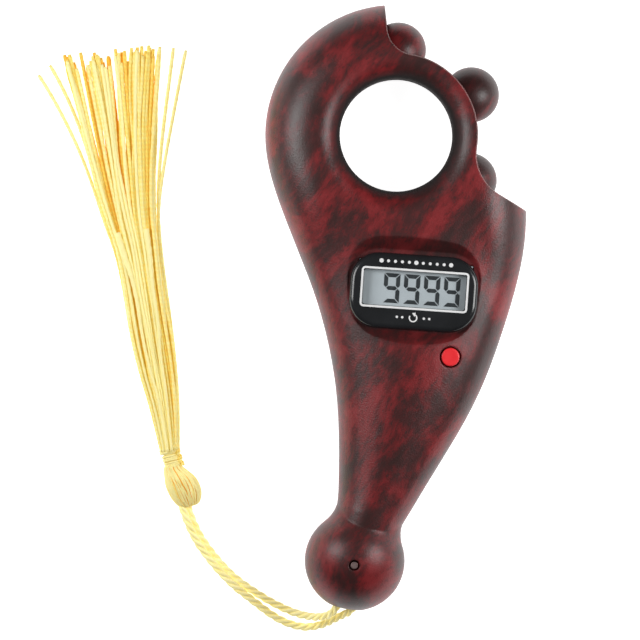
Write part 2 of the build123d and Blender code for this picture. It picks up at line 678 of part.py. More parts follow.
with BuildPart() as display_pane:
    with BuildSketch(Plane.XY.offset(POCKET_FLOOR)):
        with Locations((DISPLAY_X, DISPLAY_Y)):
            RectangleRounded(VIEW_LENGTH + 2 * PANE_LIP, VIEW_HEIGHT + 2 * PANE_LIP, 0.75)
    extrude(amount=PANE_THICKNESS)
    with BuildSketch(Plane.XY.offset(POCKET_FLOOR)):
        with Locations((DISPLAY_X, DISPLAY_Y)):
            RectangleRounded(VIEW_LENGTH - 2 * PANE_GAP, VIEW_HEIGHT - 2 * PANE_GAP, 0.55)
    extrude(amount=BEZEL_THICKNESS - PANE_SINK)
display_pane.part.label = "display_pane"
export_step(display_pane.part, "parts/display_pane.step")

with BuildPart() as lcd_panel:
    with BuildSketch(Plane.XY.offset(LCD_FLOOR)):
        with Locations((DISPLAY_X, DISPLAY_Y)):
            Rectangle(LCD_LENGTH, LCD_HEIGHT)
    extrude(amount=LCD_THICKNESS)
lcd_panel.part.label = "lcd_panel"
export_step(lcd_panel.part, "parts/lcd_panel.step")

with BuildPart() as contact_strips:
    with BuildSketch(Plane.XY.offset(BOARD_TOP)):
        with Locations((DISPLAY_X, DISPLAY_Y)):
            with GridLocations(0, LCD_HEIGHT - STRIP_WIDTH - 0.4, 1, 2):
                Rectangle(STRIP_LENGTH, STRIP_WIDTH)
    extrude(amount=LCD_FLOOR - BOARD_TOP)
contact_strips.part.label = "contact_strips"
export_step(contact_strips.part, "parts/contact_strips.step")

with BuildPart() as circuit_board:
    with BuildSketch(Plane.XY.offset(BOARD_FLOOR)):
        with Locations((BOARD_X, BOARD_Y)):
            RectangleRounded(BOARD_LENGTH, BOARD_HEIGHT, 1.8)
        with Locations(*BOARD_SCREWS):
            Circle(SMALL_SCREW_RADIUS + 0.2, mode=Mode.SUBTRACT)
    extrude(amount=BOARD_THICKNESS)
circuit_board.part.label = "circuit_board"
export_step(circuit_board.part, "parts/circuit_board.step")

with BuildPart() as chip_blob:
    blob_arc = (BLOB_RADIUS**2 + BLOB_HEIGHT**2) / (2 * BLOB_HEIGHT)
    with BuildSketch(Plane(origin=(BLOB_X, BLOB_Y, BOARD_FLOOR), x_dir=(1, 0, 0), z_dir=(0, -1, 0))):
        with BuildLine():
            Line((0, 0), (BLOB_RADIUS, 0))
            half_way = math.asin(BLOB_RADIUS / blob_arc) / 2
            ThreePointArc(
                (BLOB_RADIUS, 0),
                (blob_arc * math.sin(half_way), blob_arc - BLOB_HEIGHT - blob_arc * math.cos(half_way)),
                (0, -BLOB_HEIGHT),
            )
            Line((0, -BLOB_HEIGHT), (0, 0))
        make_face()
    revolve(axis=Axis((BLOB_X, BLOB_Y, 0), (0, 0, 1)))
chip_blob.part.label = "chip_blob"
export_step(chip_blob.part, "parts/chip_blob.step")

with BuildPart() as reed_switch:
    # Glass tube under the board's edge next to the wheel, with a lead at each end bent up to the board
    reed_z = BOARD_FLOOR - REED_RADIUS - 0.2
    with BuildSketch(Plane(origin=(BOARD_X, REED_Y, reed_z), x_dir=(0, 1, 0), z_dir=(1, 0, 0))):
        Circle(REED_RADIUS)
    extrude(amount=REED_LENGTH / 2, both=True)
    with BuildSketch(Plane(origin=(BOARD_X, REED_Y, reed_z), x_dir=(0, 1, 0), z_dir=(1, 0, 0))):
        Rectangle(0.5, 0.4)
    extrude(amount=REED_LENGTH / 2 + 1.6, both=True)
    with BuildSketch(Plane.XY.offset(reed_z - 0.2)):
        with Locations((BOARD_X, REED_Y)):
            with GridLocations(REED_LENGTH + 2.7, 0, 2, 1):
                Rectangle(0.5, 0.5)
    extrude(amount=BOARD_FLOOR - reed_z + 0.2)
reed_switch.part.label = "reed_switch"
export_step(reed_switch.part, "parts/reed_switch.step")

with BuildPart() as reset_button:
    with BuildSketch(Plane.XY.offset(FLANGE_FLOOR)):
        with Locations((RESET_X, RESET_Y)):
            Circle(FLANGE_RADIUS)
    extrude(amount=FLANGE_THICKNESS)
    with BuildSketch(Plane.XY.offset(FLANGE_FLOOR)):
        with Locations((RESET_X, RESET_Y)):
            Circle(BUTTON_RADIUS)
    extrude(amount=RESET_SURFACE + BUTTON_PROUD - FLANGE_FLOOR)
    fillet(reset_button.faces().sort_by(Axis.Z)[-1].edges(), 0.3)
reset_button.part.label = "reset_button"
export_step(reset_button.part, "parts/reset_button.step")

SWITCH_TOP = BOARD_TOP + SWITCH_HEIGHT
PLUNGER_FLOOR = SWITCH_TOP - 0.9
with BuildPart() as reset_switch:
    with BuildSketch(Plane.XY.offset(BOARD_TOP)):
        with Locations((RESET_X, RESET_Y)):
            RectangleRounded(SWITCH_SIZE, SWITCH_SIZE, 0.4)
    extrude(amount=SWITCH_HEIGHT)
    with BuildSketch(Plane.XY.offset(PLUNGER_FLOOR - BUTTON_TRAVEL - 0.2)):
        with Locations((RESET_X, RESET_Y)):
            Circle(PLUNGER_RADIUS + 0.1)
    extrude(amount=SWITCH_HEIGHT, mode=Mode.SUBTRACT)
    with BuildSketch(Plane.XY.offset(SWITCH_TOP - 0.3)):
        with Locations((RESET_X, RESET_Y)):
            with GridLocations(SWITCH_SIZE - 1.5, SWITCH_SIZE - 1.5, 2, 2):
                Circle(0.45)
    extrude(amount=0.5, mode=Mode.SUBTRACT)
reset_switch.part.label = "reset_switch"
export_step(reset_switch.part, "parts/reset_switch.step")

with BuildPart() as switch_plunger:
    with BuildSketch(Plane.XY.offset(PLUNGER_FLOOR)):
        with Locations((RESET_X, RESET_Y)):
            Circle(PLUNGER_RADIUS)
    extrude(amount=FLANGE_FLOOR - PLUNGER_FLOOR)
switch_plunger.part.label = "switch_plunger"
export_step(switch_plunger.part, "parts/switch_plunger.step")

with BuildPart() as button_cell:
    # Can with its turned-in rim and the smaller cap on the board's side
    with BuildSketch(Plane.XY.offset(COVER_PLANE)):
        with Locations((CELL_X, CELL_Y)):
            Circle(CELL_RADIUS)
    extrude(amount=CELL_HEIGHT - 0.5)
    fillet(button_cell.edges().filter_by(GeomType.CIRCLE), 0.4)
    with BuildSketch(Plane.XY.offset(COVER_PLANE + 1)):
        with Locations((CELL_X, CELL_Y)):
            Circle(CELL_RADIUS - 1.2)
    extrude(amount=CELL_HEIGHT - 1)
button_cell.part.label = "button_cell"
export_step(button_cell.part, "parts/button_cell.step")

with BuildPart() as cell_spring:
    # Leaf from the board down to the middle of the cell's cap
    t = CONTACT_THICKNESS
    with BuildSketch(Plane(origin=(CELL_X - CONTACT_WIDTH / 2, CELL_Y, 0), x_dir=(0, 1, 0), z_dir=(1, 0, 0))):
        with BuildLine():
            Polyline(
                (4.6, BOARD_FLOOR),
                (-1.0, BOARD_FLOOR),
                (-1.0, BOARD_FLOOR - t),
                (3.4, BOARD_FLOOR - t),
                (-1.2, CELL_TOP + t),
                (-2.6, CELL_TOP + 3 * t),
                (-2.6, CELL_TOP + 2 * t),
                (-1.2, CELL_TOP),
                (-0.6, CELL_TOP),
                (4.6, BOARD_FLOOR - 1.6 * t),
                (4.6, BOARD_FLOOR),
            )
        make_face()
    extrude(amount=CONTACT_WIDTH)
cell_spring.part.label = "cell_spring"
export_step(cell_spring.part, "parts/cell_spring.step")

with BuildPart() as cell_clip:
    # Angle that touches the side of the cell's can
    leg = CELL_X + CELL_RADIUS
    with BuildSketch(Plane(origin=(0, CELL_Y + CONTACT_WIDTH / 2, 0), x_dir=(1, 0, 0), z_dir=(0, -1, 0))):
        with BuildLine():
            Polyline(
                (leg, COVER_PLANE + 1.5),
                (leg + CONTACT_THICKNESS, COVER_PLANE + 1.5),
                (leg + CONTACT_THICKNESS, BOARD_FLOOR - CONTACT_THICKNESS),
                (leg + 3.0, BOARD_FLOOR - CONTACT_THICKNESS),
                (leg + 3.0, BOARD_FLOOR),
                (leg, BOARD_FLOOR),
                (leg, COVER_PLANE + 1.5),
            )
        make_face()
    extrude(amount=CONTACT_WIDTH)
cell_clip.part.label = "cell_clip"
export_step(cell_clip.part, "parts/cell_clip.step")

with BuildPart() as cord_pin:
    with BuildSketch(Plane.XY.offset(-7.5)):
        with Locations((pin_centre.X, pin_centre.Y)):
            Circle(PIN_RADIUS)
    extrude(amount=7.5 + BALL_RADIUS - PIN_SINK)
    fillet(cord_pin.faces().sort_by(Axis.Z)[-1].edges(), 0.15)
cord_pin.part.label = "cord_pin"
export_step(cord_pin.part, "parts/cord_pin.step")

with BuildPart() as cord_loop:
    start = pin_centre + cord_side * LOOP_RADIUS
    top = pin_centre - cord_out * LOOP_RADIUS
    end = pin_centre - cord_side * LOOP_RADIUS
    with BuildLine():
        ThreePointArc(start, top, end)
    with BuildSketch(Plane(origin=start, x_dir=(0, 0, 1), z_dir=-cord_out)):
        Circle(CORD_RADIUS)
    sweep()
cord_loop.part.label = "cord_loop"
export_step(cord_loop.part, "parts/cord_loop.step")

# Tassel: the head lies on its side, its axis leaning from Y
tassel_axis = Vector(-math.sin(math.radians(TASSEL_TILT)), math.cos(math.radians(TASSEL_TILT)), 0)
tassel_side = Vector(tassel_axis.Y, -tassel_axis.X, 0)
tassel_foot = Vector(TASSEL_X, TASSEL_Y, TASSEL_Z)
CORD_REST = REST_PLANE + CORD_RADIUS + 0.02


def cord_tube(points):
    """Round cord along straight runs and tangent arcs through these points."""
    runs = [b - a for a, b in zip(points, points[1:])]
    radii = []
    for before, after in zip(runs, runs[1:]):
        turn = math.radians(before.get_angle(after))
        radii.append(0.45 * min(before.length, after.length) / math.tan(turn / 2))
    print("cord bend radii", [round(r, 2) for r in radii], "turn runs", [round(r.length, 1) for r in runs])
    with BuildPart() as tube:
        with BuildLine() as route:
            FilletPolyline(*points, radius=radii)
        with BuildSketch(Plane(origin=points[0], z_dir=runs[0])):
            Circle(CORD_RADIUS)
        sweep()
    length = sum(edge.length for edge in route.edges())
    section = math.pi * CORD_RADIUS**2
    print("cord length", round(length, 2), "volume", round(tube.part.volume, 2), "of", round(section * length, 2))
    return tube.part


left_start = pin_centre - cord_side * LOOP_RADIUS
right_start = pin_centre + cord_side * LOOP_RADIUS
left_end = tassel_foot + tassel_side * (CORD_RADIUS + 0.05)
right_end = tassel_foot - tassel_side * (CORD_RADIUS + 0.05)
left_points = [
    left_start,
    left_start + cord_out * 9.6,
    Vector(-7.6, -94.9, -3.0),
    Vector(-11.2, -95.0, -6.8),
    Vector(-15.4, -93.9, CORD_REST),
    Vector(-20.2, -91.7, CORD_REST),
    Vector(-26.0, -88.3, CORD_REST),
    Vector(-31.0, -83.3, CORD_REST),
    left_end - tassel_axis * 4.0,
    left_end,
]
left_cord = cord_tube(left_points)
left_cord.label = "cord_strand_left"
export_step(left_cord, "parts/cord_strand_left.step")

right_points = [
    right_start,
    right_start + cord_out * 9.0,
    Vector(-4.6, -94.5, -3.2),
    Vector(-7.8, -96.6, -6.8),
    Vector(-11.8, -97.4, CORD_REST),
    Vector(-16.6, -96.0, CORD_REST),
    Vector(-21.0, -93.25, CORD_REST),
    Vector(-27.0, -89.65, CORD_REST),
    Vector(-32.3, -84.35, CORD_REST),
    right_end - tassel_axis * 4.0,
    right_end,
]
right_cord = cord_tube(right_points)
right_cord.label = "cord_strand_right"
export_step(right_cord, "parts/cord_strand_right.step")

with BuildPart() as tassel_head:
    # Bulb of gathered thread with a stem, turned about the tassel's axis
    with BuildSketch(Plane(origin=tassel_foot, x_dir=tassel_axis, z_dir=(0, 0, 1))):
        with BuildLine():
            Line((0, 0), (0, 1.75))
            Spline(
                (0, 1.75),
                (BULB_LENGTH * 0.32, BULB_RADIUS),
                (BULB_LENGTH * 0.68, BULB_RADIUS * 0.86),
                (BULB_LENGTH, STEM_RADIUS + THREAD_RADIUS),
                tangents=((0.35, 1), (1, -0.25)),
            )
            Polyline(
                (BULB_LENGTH, STEM_RADIUS + THREAD_RADIUS),
                (BULB_LENGTH, STEM_RADIUS),
                (BULB_LENGTH + STEM_LENGTH, STEM_RADIUS),
                (BULB_LENGTH + STEM_LENGTH, 0),
                (0, 0),
            )
        make_face()
    revolve(axis=Axis(tassel_foot, tassel_axis))
tassel_head.part.label = "tassel_head"
export_step(tassel_head.part, "parts/tassel_head.step")

# Binding: one thread wound round the stem, each quarter turn two tangent arcs
winding_radius = STEM_RADIUS + THREAD_RADIUS + 0.02
winding_start = BULB_LENGTH + THREAD_RADIUS + 0.05
climb = THREAD_PITCH / (2 * math.pi)
up = Vector(0, 0, 1)


def winding_point(angle):
    """Point on the wound thread's middle line."""
    along = tassel_foot + tassel_axis * (winding_start + climb * angle)
    return along + tassel_side * (winding_radius * math.cos(angle)) + up * (winding_radius * math.sin(angle))


def winding_way(angle):
    """Direction of the wound thread."""
    round_it = up * (winding_radius * math.cos(angle)) - tassel_side * (winding_radius * math.sin(angle))
    return (tassel_axis * climb + round_it).normalized()


with BuildPart() as tassel_binding:
    quarter = math.pi / 2
    with BuildLine():
        for step in range(int(4 * THREAD_TURNS)):
            a = winding_point(step * quarter)
            b = winding_point((step + 1) * quarter)
            way_a = winding_way(step * quarter)
            way_b = winding_way((step + 1) * quarter)
            gap = b - a
            both = way_a + way_b
            bend = 2 * (1 - way_a.dot(way_b))
            reach = (math.sqrt(gap.dot(both) ** 2 + bend * gap.dot(gap)) - gap.dot(both)) / bend
            corner = b - way_b * reach
            joint = (a + way_a * reach + corner) * 0.5
            TangentArc(a, joint, tangent=way_a)
            TangentArc(joint, b, tangent=corner - joint)
    with BuildSketch(Plane(origin=winding_point(0), z_dir=winding_way(0))):
        Circle(THREAD_RADIUS)
    sweep()
turn_points = [winding_point(step * 0.1) for step in range(int(THREAD_TURNS * 20 * math.pi))]
least = min(
    (p - q).length
    for i, p in enumerate(turn_points)
    for j, q in enumerate(turn_points)
    if j - i > 30
)
print("least gap of the winding to itself", round(least - 2 * THREAD_RADIUS, 3))
tassel_binding.part.label = "tassel_binding"
export_step(tassel_binding.part, "parts/tassel_binding.step")

# Skirt: rows of strands that fan out from a gathered collar, none crossing
skirt_axis = Vector(-math.sin(math.radians(SKIRT_TILT)), math.cos(math.radians(SKIRT_TILT)), 0)
skirt_side = Vector(skirt_axis.Y, -skirt_axis.X, 0)
skirt_root = tassel_foot + tassel_axis * (BULB_LENGTH + STEM_LENGTH)


def skirt_spot(across, height, share):
    """Point of the skirt at this share of its length."""
    droop = up * (-SKIRT_DROP * share)
    return skirt_root + skirt_axis * (SKIRT_LENGTH * share) + droop + skirt_side * across + up * height


strands = []
for height, count, spread in SKIRT_ROWS:
    row_width = math.sqrt(1 - (0.75 * height) ** 2)
    for index in range(count):
        u = -1 + 2 * index / (count - 1)
        root_across = u * row_width * STEM_RADIUS * 0.85
        tip_across = SKIRT_HALF_WIDTH * u + (spread - SKIRT_HALF_WIDTH) * u**17
        root_height = height * STEM_RADIUS * 0.6
        tip_height = height * (SKIRT_HALF_HEIGHT - STRAND_TIP)
        ends = []
        trim = 1 - 0.0012 * abs(tip_across) ** 1.6
        for share, goal, half in (
            (COLLAR_SHARE * 0.9, SKIRT_HALF_WIDTH * u, STRAND_ROOT),
            (trim, tip_across, STRAND_TIP),
        ):
            across = root_across + (goal - root_across) * share
            lift = root_height + (tip_height - root_height) * share
            ends.append((skirt_spot(across, lift, share), half))
        with BuildPart() as strand:
            for spot, half in ends:
                with BuildSketch(Plane(origin=spot, x_dir=skirt_side, z_dir=skirt_axis)):
                    Rectangle(2 * half, 2 * half)
            loft(ruled=True)
        strands.append(strand.part)
with BuildPart() as tassel_skirt:
    with BuildSketch(Plane(origin=skirt_root, x_dir=tassel_side, z_dir=tassel_axis)):
        Circle(STEM_RADIUS)
    with BuildSketch(Plane(origin=skirt_spot(0, 0, COLLAR_SHARE), x_dir=skirt_side, z_dir=skirt_axis)):
        Ellipse(STEM_RADIUS * 0.85 + SKIRT_HALF_WIDTH * COLLAR_SHARE + 0.5, STEM_RADIUS + 0.3)
    loft()
    add(strands)
tassel_skirt.part.label = "tassel_skirt"
export_step(tassel_skirt.part, "parts/tassel_skirt.step")
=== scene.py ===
import math
import random

import bpy
import numpy as np
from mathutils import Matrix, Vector


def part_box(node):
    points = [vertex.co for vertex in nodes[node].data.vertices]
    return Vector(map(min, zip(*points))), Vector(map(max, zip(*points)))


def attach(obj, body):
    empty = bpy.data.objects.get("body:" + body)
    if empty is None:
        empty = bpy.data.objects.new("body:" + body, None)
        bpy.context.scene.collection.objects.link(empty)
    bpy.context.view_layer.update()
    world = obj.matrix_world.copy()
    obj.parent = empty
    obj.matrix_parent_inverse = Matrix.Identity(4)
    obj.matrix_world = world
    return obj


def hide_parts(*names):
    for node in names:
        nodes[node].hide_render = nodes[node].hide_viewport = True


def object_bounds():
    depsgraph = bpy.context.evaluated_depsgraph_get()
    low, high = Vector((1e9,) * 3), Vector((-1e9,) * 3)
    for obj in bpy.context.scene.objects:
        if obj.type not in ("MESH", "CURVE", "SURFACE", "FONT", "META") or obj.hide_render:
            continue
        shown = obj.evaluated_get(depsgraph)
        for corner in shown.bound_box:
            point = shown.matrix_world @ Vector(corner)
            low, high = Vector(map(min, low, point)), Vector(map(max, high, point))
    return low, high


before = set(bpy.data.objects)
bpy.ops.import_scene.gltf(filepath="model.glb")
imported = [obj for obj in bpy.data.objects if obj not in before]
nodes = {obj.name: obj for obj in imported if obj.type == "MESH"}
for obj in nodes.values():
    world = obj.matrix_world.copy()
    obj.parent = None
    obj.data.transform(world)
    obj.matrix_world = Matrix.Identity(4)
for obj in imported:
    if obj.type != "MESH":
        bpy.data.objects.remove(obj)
cad_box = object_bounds()
scene = bpy.context.scene
rng = random.Random(33)

# Lengths are in metres, written as millimetres times MM, unless a comment says millimetres.
# The axes are the frame's: origin at the finger hole's centre, X along the display, Y from the ball
# to the ring, Z out of the face.
MM = 0.001
TURN = 2 * math.pi

# The picture: looking straight down, the object turned a little in it
VIEW_WIDTH = 124.8 * MM
VIEW_CENTRE = (-12.3 * MM, -36.9 * MM)
VIEW_ROLL = 4.0  # degrees
LENS = 400.0
SENSOR = 36.0

# Light: a floor that glows as a light table does, so that shadows stay faint, two softboxes and a dim
# studio all round
FLOOR_HALF = 1.5
FLOOR_GAP = 0.02 * MM  # below the object's lowest point
FLOOR_GLOW = 1.08
FLOOR_TONES = ((0.86, 0.86, 0.86), (0.90, 0.90, 0.90))
SOFTBOX_WIDTH = 0.10
SOFTBOX_HEIGHT = 0.12
# Name, place, the point that it faces, power in watts
SOFTBOXES = (
    ("softbox_left", (-0.168, 0.005, 0.142), (-0.01, 0, 0), 0.33),
    ("softbox_right", (0.178, -0.005, 0.152), (0.02, -0.02, 0), 0.41),
)
STUDIO_HORIZON = 0.15
STUDIO_OVERHEAD = 0.125
STUDIO_RISE = (0.05, 0.85)  # heights of a direction between which the one turns into the other
STUDIO_ALONG_Y = 0.3  # brightness along Y, as a share of that along X
STUDIO_ASIDE = (0.1, 0.8)  # parts of a direction along Y between which it fades to that share

# Values of a noise between which tones change, and the gloss of moulded pieces
NOISE_SPAN = (0.3, 0.7)
GLOSS_SPAN = (0.35, 0.65)

# Rosewood print: scales are per millimetre across, along and through the grain, weights add up to its tone
GRAIN_TURN = 26.0  # degrees
DRIFT_SCALE = 0.06
DRIFT_REACH = 8.0  # millimetres
PATCH_SCALE = (0.15, 0.08, 0.11)
PATCH_WEIGHT = 0.86
STREAK_SCALE = (0.8, 0.32, 0.45)
STREAK_WEIGHT = 0.44
FIBRE_SCALE = (3.6, 1.1, 1.8)
FLECK_SPAN = (0.56, 0.68)  # fibres in this span become dark flecks
FLECK_WEIGHT = 0.10
TONE_SHIFT = -0.152
WOOD_TONES = (
    (0.33, (0.038, 0.014, 0.013)),
    (0.43, (0.060, 0.013, 0.013)),
    (0.50, (0.110, 0.012, 0.013)),
    (0.58, (0.180, 0.014, 0.016)),
    (0.72, (0.245, 0.020, 0.023)),
)
WOOD_GLOSS = (0.36, 0.43)
WOOD_SPECULAR = 0.44
WOOD_EDGE = 0.5 * MM
STIPPLE_SCALE = 3.4  # per millimetre
STIPPLE_RELIEF = (0.65, 0.06 * MM)  # strength and depth, as in the other reliefs
FIBRE_RELIEF = (0.15, 0.01 * MM)
CASING_SHIFT = (90, 35, 40)  # the same for both halves, so that the print runs on over the seam
COVER_SHIFT = (3.0, 1.0, 0)
BEAD_SHIFT = (7.0, -4.0, 2.0)
BEAD_SHADE = 0.10  # the beads are darker than the casing

# Where the casing's colour leaves its print: a painted highlight on the bead window's edges, painted shade
# in the finger hole and the display's pocket, and the seam. Places are in millimetres
HIGHLIGHT_ABOVE = -16.0  # painted highlight along sharp edges only on the bead window, which lies above this Y
HIGHLIGHT_OFF_SEAM = 0.7  # and none along the seam, this near to it
HIGHLIGHT_TURN = (0.86, 0.97)  # cosines of the rounded normal's turn where the painted highlight is full and where it ends
HIGHLIGHT_SHARE = 0.85
EDGE_HIGHLIGHT_COLOUR = (0.55, 0.38, 0.37)
BORE_SHADE = (11.4, 12.9)  # painted shade in the finger hole: radii where it is full and where it ends
BORE_ROUGHNESS = (0.9, 0.9, 0.9)
POCKET_PLACE = (5.55, -29.9, 0.0)  # middle of the display's pocket
POCKET_REACH = (1 / 13.1, 1 / 10.9, 1.0)  # one over its half width and half height
POCKET_TURN = 4.0  # degrees
POCKET_POWER = 4.0  # of its outline, which is a rounded rectangle's
POCKET_FADE = (0.55, 1.0)  # its painted shade is full within the first and ends at the second
POCKET_SHADE_SHARE = 0.55
POCKET_SHADE_COLOUR = (0.020, 0.006, 0.006)
SEAM_HALF = 0.05
SEAM_RELIEF = (0.6, -0.05 * MM)
HOLE_SHADE_AND_SEAM_COLOUR = (0.012, 0.006, 0.006)  # of the painted shade in the finger hole, and of the seam's dark line

# Other surfaces: scales per millimetre
FINE_SCALE = 7.0
FINE_STRENGTH = 0.3
FINE_EDGE = 0.06 * MM
BRUSH_SCALE = (0.6, 9.0, 9.0)
BRUSH_RELIEF = (0.2, 0.01 * MM)
SMEAR_SCALE = 0.3
CLEAR_IOR = 1.42
PANEL_SCALE = (0.12, 0.25, 1.0)
PANEL_LINES = (0.5, 14.0, 1.0)
PANEL_TONES = ((0.50, 0.54, 0.57), (0.56, 0.60, 0.63))
PANEL_LINE_COLOUR = (0.43, 0.46, 0.49)
PANEL_LINE_SPAN = (0.4, 0.8)
PANEL_LINE_SHARE = 0.12
PANEL_GLOSS = (0.30, 0.38)
PANEL_RELIEF = (0.1, 0.01 * MM)
TRACK_SCALE = 0.28
TRACK_WIDTH = 0.035
TRACK_RELIEF = (0.4, 0.03 * MM)
BOARD_SCALE = 0.8
BOARD_SHADOW = (0.006, 0.05, 0.02)
BOARD_SHADOW_SPAN = (0.3, 0.8)
BOARD_SHADOW_SHARE = 0.35
BOARD_GLOSS = (0.3, 0.42)

# Silk: tones by the shade of a thread, its painted glow, which lifts the shade between threads though silk
# is no lamp, and the pitch of its filaments in millimetres
CORD_TONES = ((0.15, (0.95, 0.70, 0.19)), (0.5, (0.96, 0.86, 0.37)), (0.85, (0.97, 0.94, 0.56)))
CORD_GLOW = (0.95, 0.76, 0.30)
CORD_GLOW_STRENGTH = 0.24
CORD_FILAMENTS = 0.5
TASSEL_TONES = ((0.1, (0.87, 0.44, 0.04)), (0.5, (0.89, 0.71, 0.17)), (0.9, (0.93, 0.87, 0.42)))
TASSEL_GLOW = (0.95, 0.55, 0.05)
TASSEL_GLOW_STRENGTH = 0.12
TASSEL_FILAMENTS = 0.9
SILK_PATCH_SCALE = 0.5  # per millimetre
SILK_PATCH_WEIGHT = 0.5
SILK_FILAMENT_WEIGHT = 0.12
SILK_FUZZ_SCALE = 9.0  # per millimetre
SILK_GLOSS = (0.42, 0.58)
SILK_RELIEF = (0.5, 0.03 * MM)
FUZZ_RELIEF = (0.25, 0.03 * MM)

# Cord: its way out of the ball, the loop round the pin and its rest on the floor
CORD_RADIUS = 0.775 * MM
CORD_TILT = 7.0  # degrees
CORD_REST = -8.405 * MM  # height of its axis where it lies on the floor
PLY_PITCH = 5.8 * MM
PLY_SHADES = (0.55, 0.61, 0.67)
PLY_SWELL = 1.06  # the plies press into each other
PIN = Vector((-2.353, -83.846, 0.0)) * MM
LOOP_RADIUS = 1.625 * MM
LOOP_STEP = 30  # degrees
# Ends of the strands in the tassel's foot: places beside its axis and length of the straight run, in
# millimetres, and how far the left strand lies below the axis and the right one above it
LEFT_ASIDE = 0.55
RIGHT_ASIDE = -0.45
STRAIGHT_RUN = 4.0
END_RISE = Vector((0, 0, 0.6 * MM))

# Tassel: bulb, neck and skirt
TASSEL_FOOT = Vector((-36.2, -75.1, -5.8)) * MM
TASSEL_TILT = 21.0  # degrees
BULB_LENGTH = 7.4 * MM
# Distance from the foot and radius, in millimetres
BULB_PROFILE = (
    (-0.3, 0.5), (-0.4, 1.6), (0.9, 2.55), (2.6, 3.05), (4.8, 3.0), (6.4, 2.3), (7.6, 1.8), (8.4, 1.6),
)
BULB_ROWS = 30
# Layers from the inner to the outer one: threads, share of the profile's radius, darkest and lightest
# shade; the inner layer's dark tones are painted shade in the gaps
BULB_LAYERS = ((40, 0.90, 0.1, 0.3), (56, 0.98, 0.65, 1.2))
BULB_HEIGHT = 1.03  # of its width
BULB_LEAN = 1.1  # the foot's shift to the side, in millimetres
BULB_SCATTER = 0.3  # of a thread's start round the foot, in spaces between threads
BULB_TWIST = 0.16  # most that a thread leans round the bulb, in radians
BULB_WAVE = (0.06, 4)  # size of its waves in radians, and how fast they run
BULB_LIFT = 0.03  # most that a thread stands out or in, as a share of the radius
BULB_THREAD = 0.07 * MM
BULB_SWELL = 0.038  # what a thread gains with the bulb's radius
NECK_LENGTH = 4.4 * MM
NECK_RADIUS = 1.3 * MM

# Binding of the neck
BINDING_GAP = 0.6 * MM  # from the bulb's end
BINDING_ASIDE = 0.25  # shift to the side, in millimetres
# Windings: start, turns, pitch, radius of the thread
WINDINGS = ((0.0, 6.4, 0.42 * MM, 0.23 * MM), (2.85 * MM, 2.2, 0.55 * MM, 0.31 * MM))
WINDING_STEPS = 36  # a turn
WINDING_SHADE = 0.85
# Unevenness along and out of the neck: size, waves a turn
UNEVEN_ALONG = (0.06 * MM, 0.37)
UNEVEN_OUT = (0.05 * MM, 0.61)
# Stitched end: phase and shade of each thread, then the zigzag that they share
STITCHES = ((0.0, 0.45), (1.9, 0.65))
STITCH_STEPS = 90
STITCH_TURNS = 3.3
STITCH_START = 0.2 * MM  # before the windings
STITCH_LENGTH = 4.5 * MM
STITCH_THREAD = 0.2 * MM
STITCH_ANGLE = (0.42, 0.34)  # its middle round the neck and its reach, in radians
STITCH_OUT = (0.62, 0.16)  # middle and reach of its height over the neck, in millimetres

# Skirt of loose threads
SKIRT_TILT = 12.0  # degrees
SKIRT_LENGTH = 79.0 * MM
SKIRT_THREADS = 78
SKIRT_ROWS = 110
SKIRT_OVERLAP = 0.6 * MM  # its start inside the binding
# Outline of the skirt: distance from the neck, place across, in millimetres
SKIRT_LEFT = ((0.0, -1.6), (7.0, -2.3), (18.0, -4.2), (38.0, -4.6), (50.0, -7.0), (80.5, -9.6))
SKIRT_RIGHT = ((0.0, 2.4), (7.0, 3.5), (18.0, 4.1), (41.0, 3.5), (56.0, 5.2), (80.5, 10.1))
SKIRT_RADIUS = (0.24, 0.13)  # of a thread at the neck and what it gains to the tip, in millimetres
SKIRT_PILE = (3.8, 1.3)  # height of the pile at the neck and what it loses to the tip, in millimetres
SKIRT_TIP = 0.8  # radius of a cut tip, as a share of the thread's
SKIRT_LIFT = 0.06 * MM  # the lowest threads lie this far over the floor
NECK_SINK = 0.4 * MM  # the lowest threads start this far under the neck
FALL_LENGTH = 24 * MM  # over this length the threads come down from the neck to the floor
FALL_BEND = 1.5
# Waves of a thread: how many add up, and the spans of their sizes in millimetres, half turns and phases
WAVE_COUNT = 2
WAVE_SIZES = (0.05, 0.2)
WAVE_TURNS = (2, 7)
WAVE_PHASES = (0, 6.3)
WAVE_GROWTH = 4  # they are full after one part in this many of the length
# Reach of the tips to each side of the middle, before they are held within the outline, and their scatter
TIP_SPREAD = (0.60, 0.10)
THREAD_SHADE = (1.05, -0.08, 0.15)  # gain with the place in the pile, which paints the lower threads darker and more orange as painted shade, shade at its foot, scatter
THREAD_BENDS = (0.9, 2.0)  # from early to late
THREAD_LENGTHS = (-3.0, 1.0)  # added to the skirt's length, in millimetres
# Threads astray: root and tip across the outline, bend, length in millimetres
STRAYS = (
    (0.05, -0.34, 3.5, 76.6),
    (0.02, -0.18, 6.0, 78.2),
    (0.95, 1.29, 1.5, 77.4),
    (0.97, 1.14, 0.7, 78.2),
)
STRAY_SHADE = 0.8
STRAY_LAYER = 0.25
# Two short threads with thick ends on top, by their tips across the outline
SHORT_TIPS = (0.18, 0.83)
SHORT_ROOT = (0.35, 0.3)  # place of the root for a tip at 0, and its gain with the tip
SHORT_BEND = 1.2
SHORT_LENGTH = 43.8 * MM
SHORT_SHADE = 0.95
SHORT_LAYER = 1.08
SHORT_SWELL = 2.2

# Sections of the threads: sides of the tube, lobes of its plies, their depth and the pitch of their twist
PLY_SECTION = {"sides": 12, "lobes": 4, "depth": 0.06, "pitch": 1.9 * MM}
BULB_SECTION = {"sides": 6}
WINDING_SECTION = {"sides": 10, "lobes": 3, "depth": 0.07, "pitch": 1.3 * MM}
STITCH_SECTION = {"sides": 8, "lobes": 3, "depth": 0.07, "pitch": 1.3 * MM}
SKIRT_SECTION = {"sides": 8, "lobes": 2, "depth": 0.1, "pitch": 4.2 * MM}

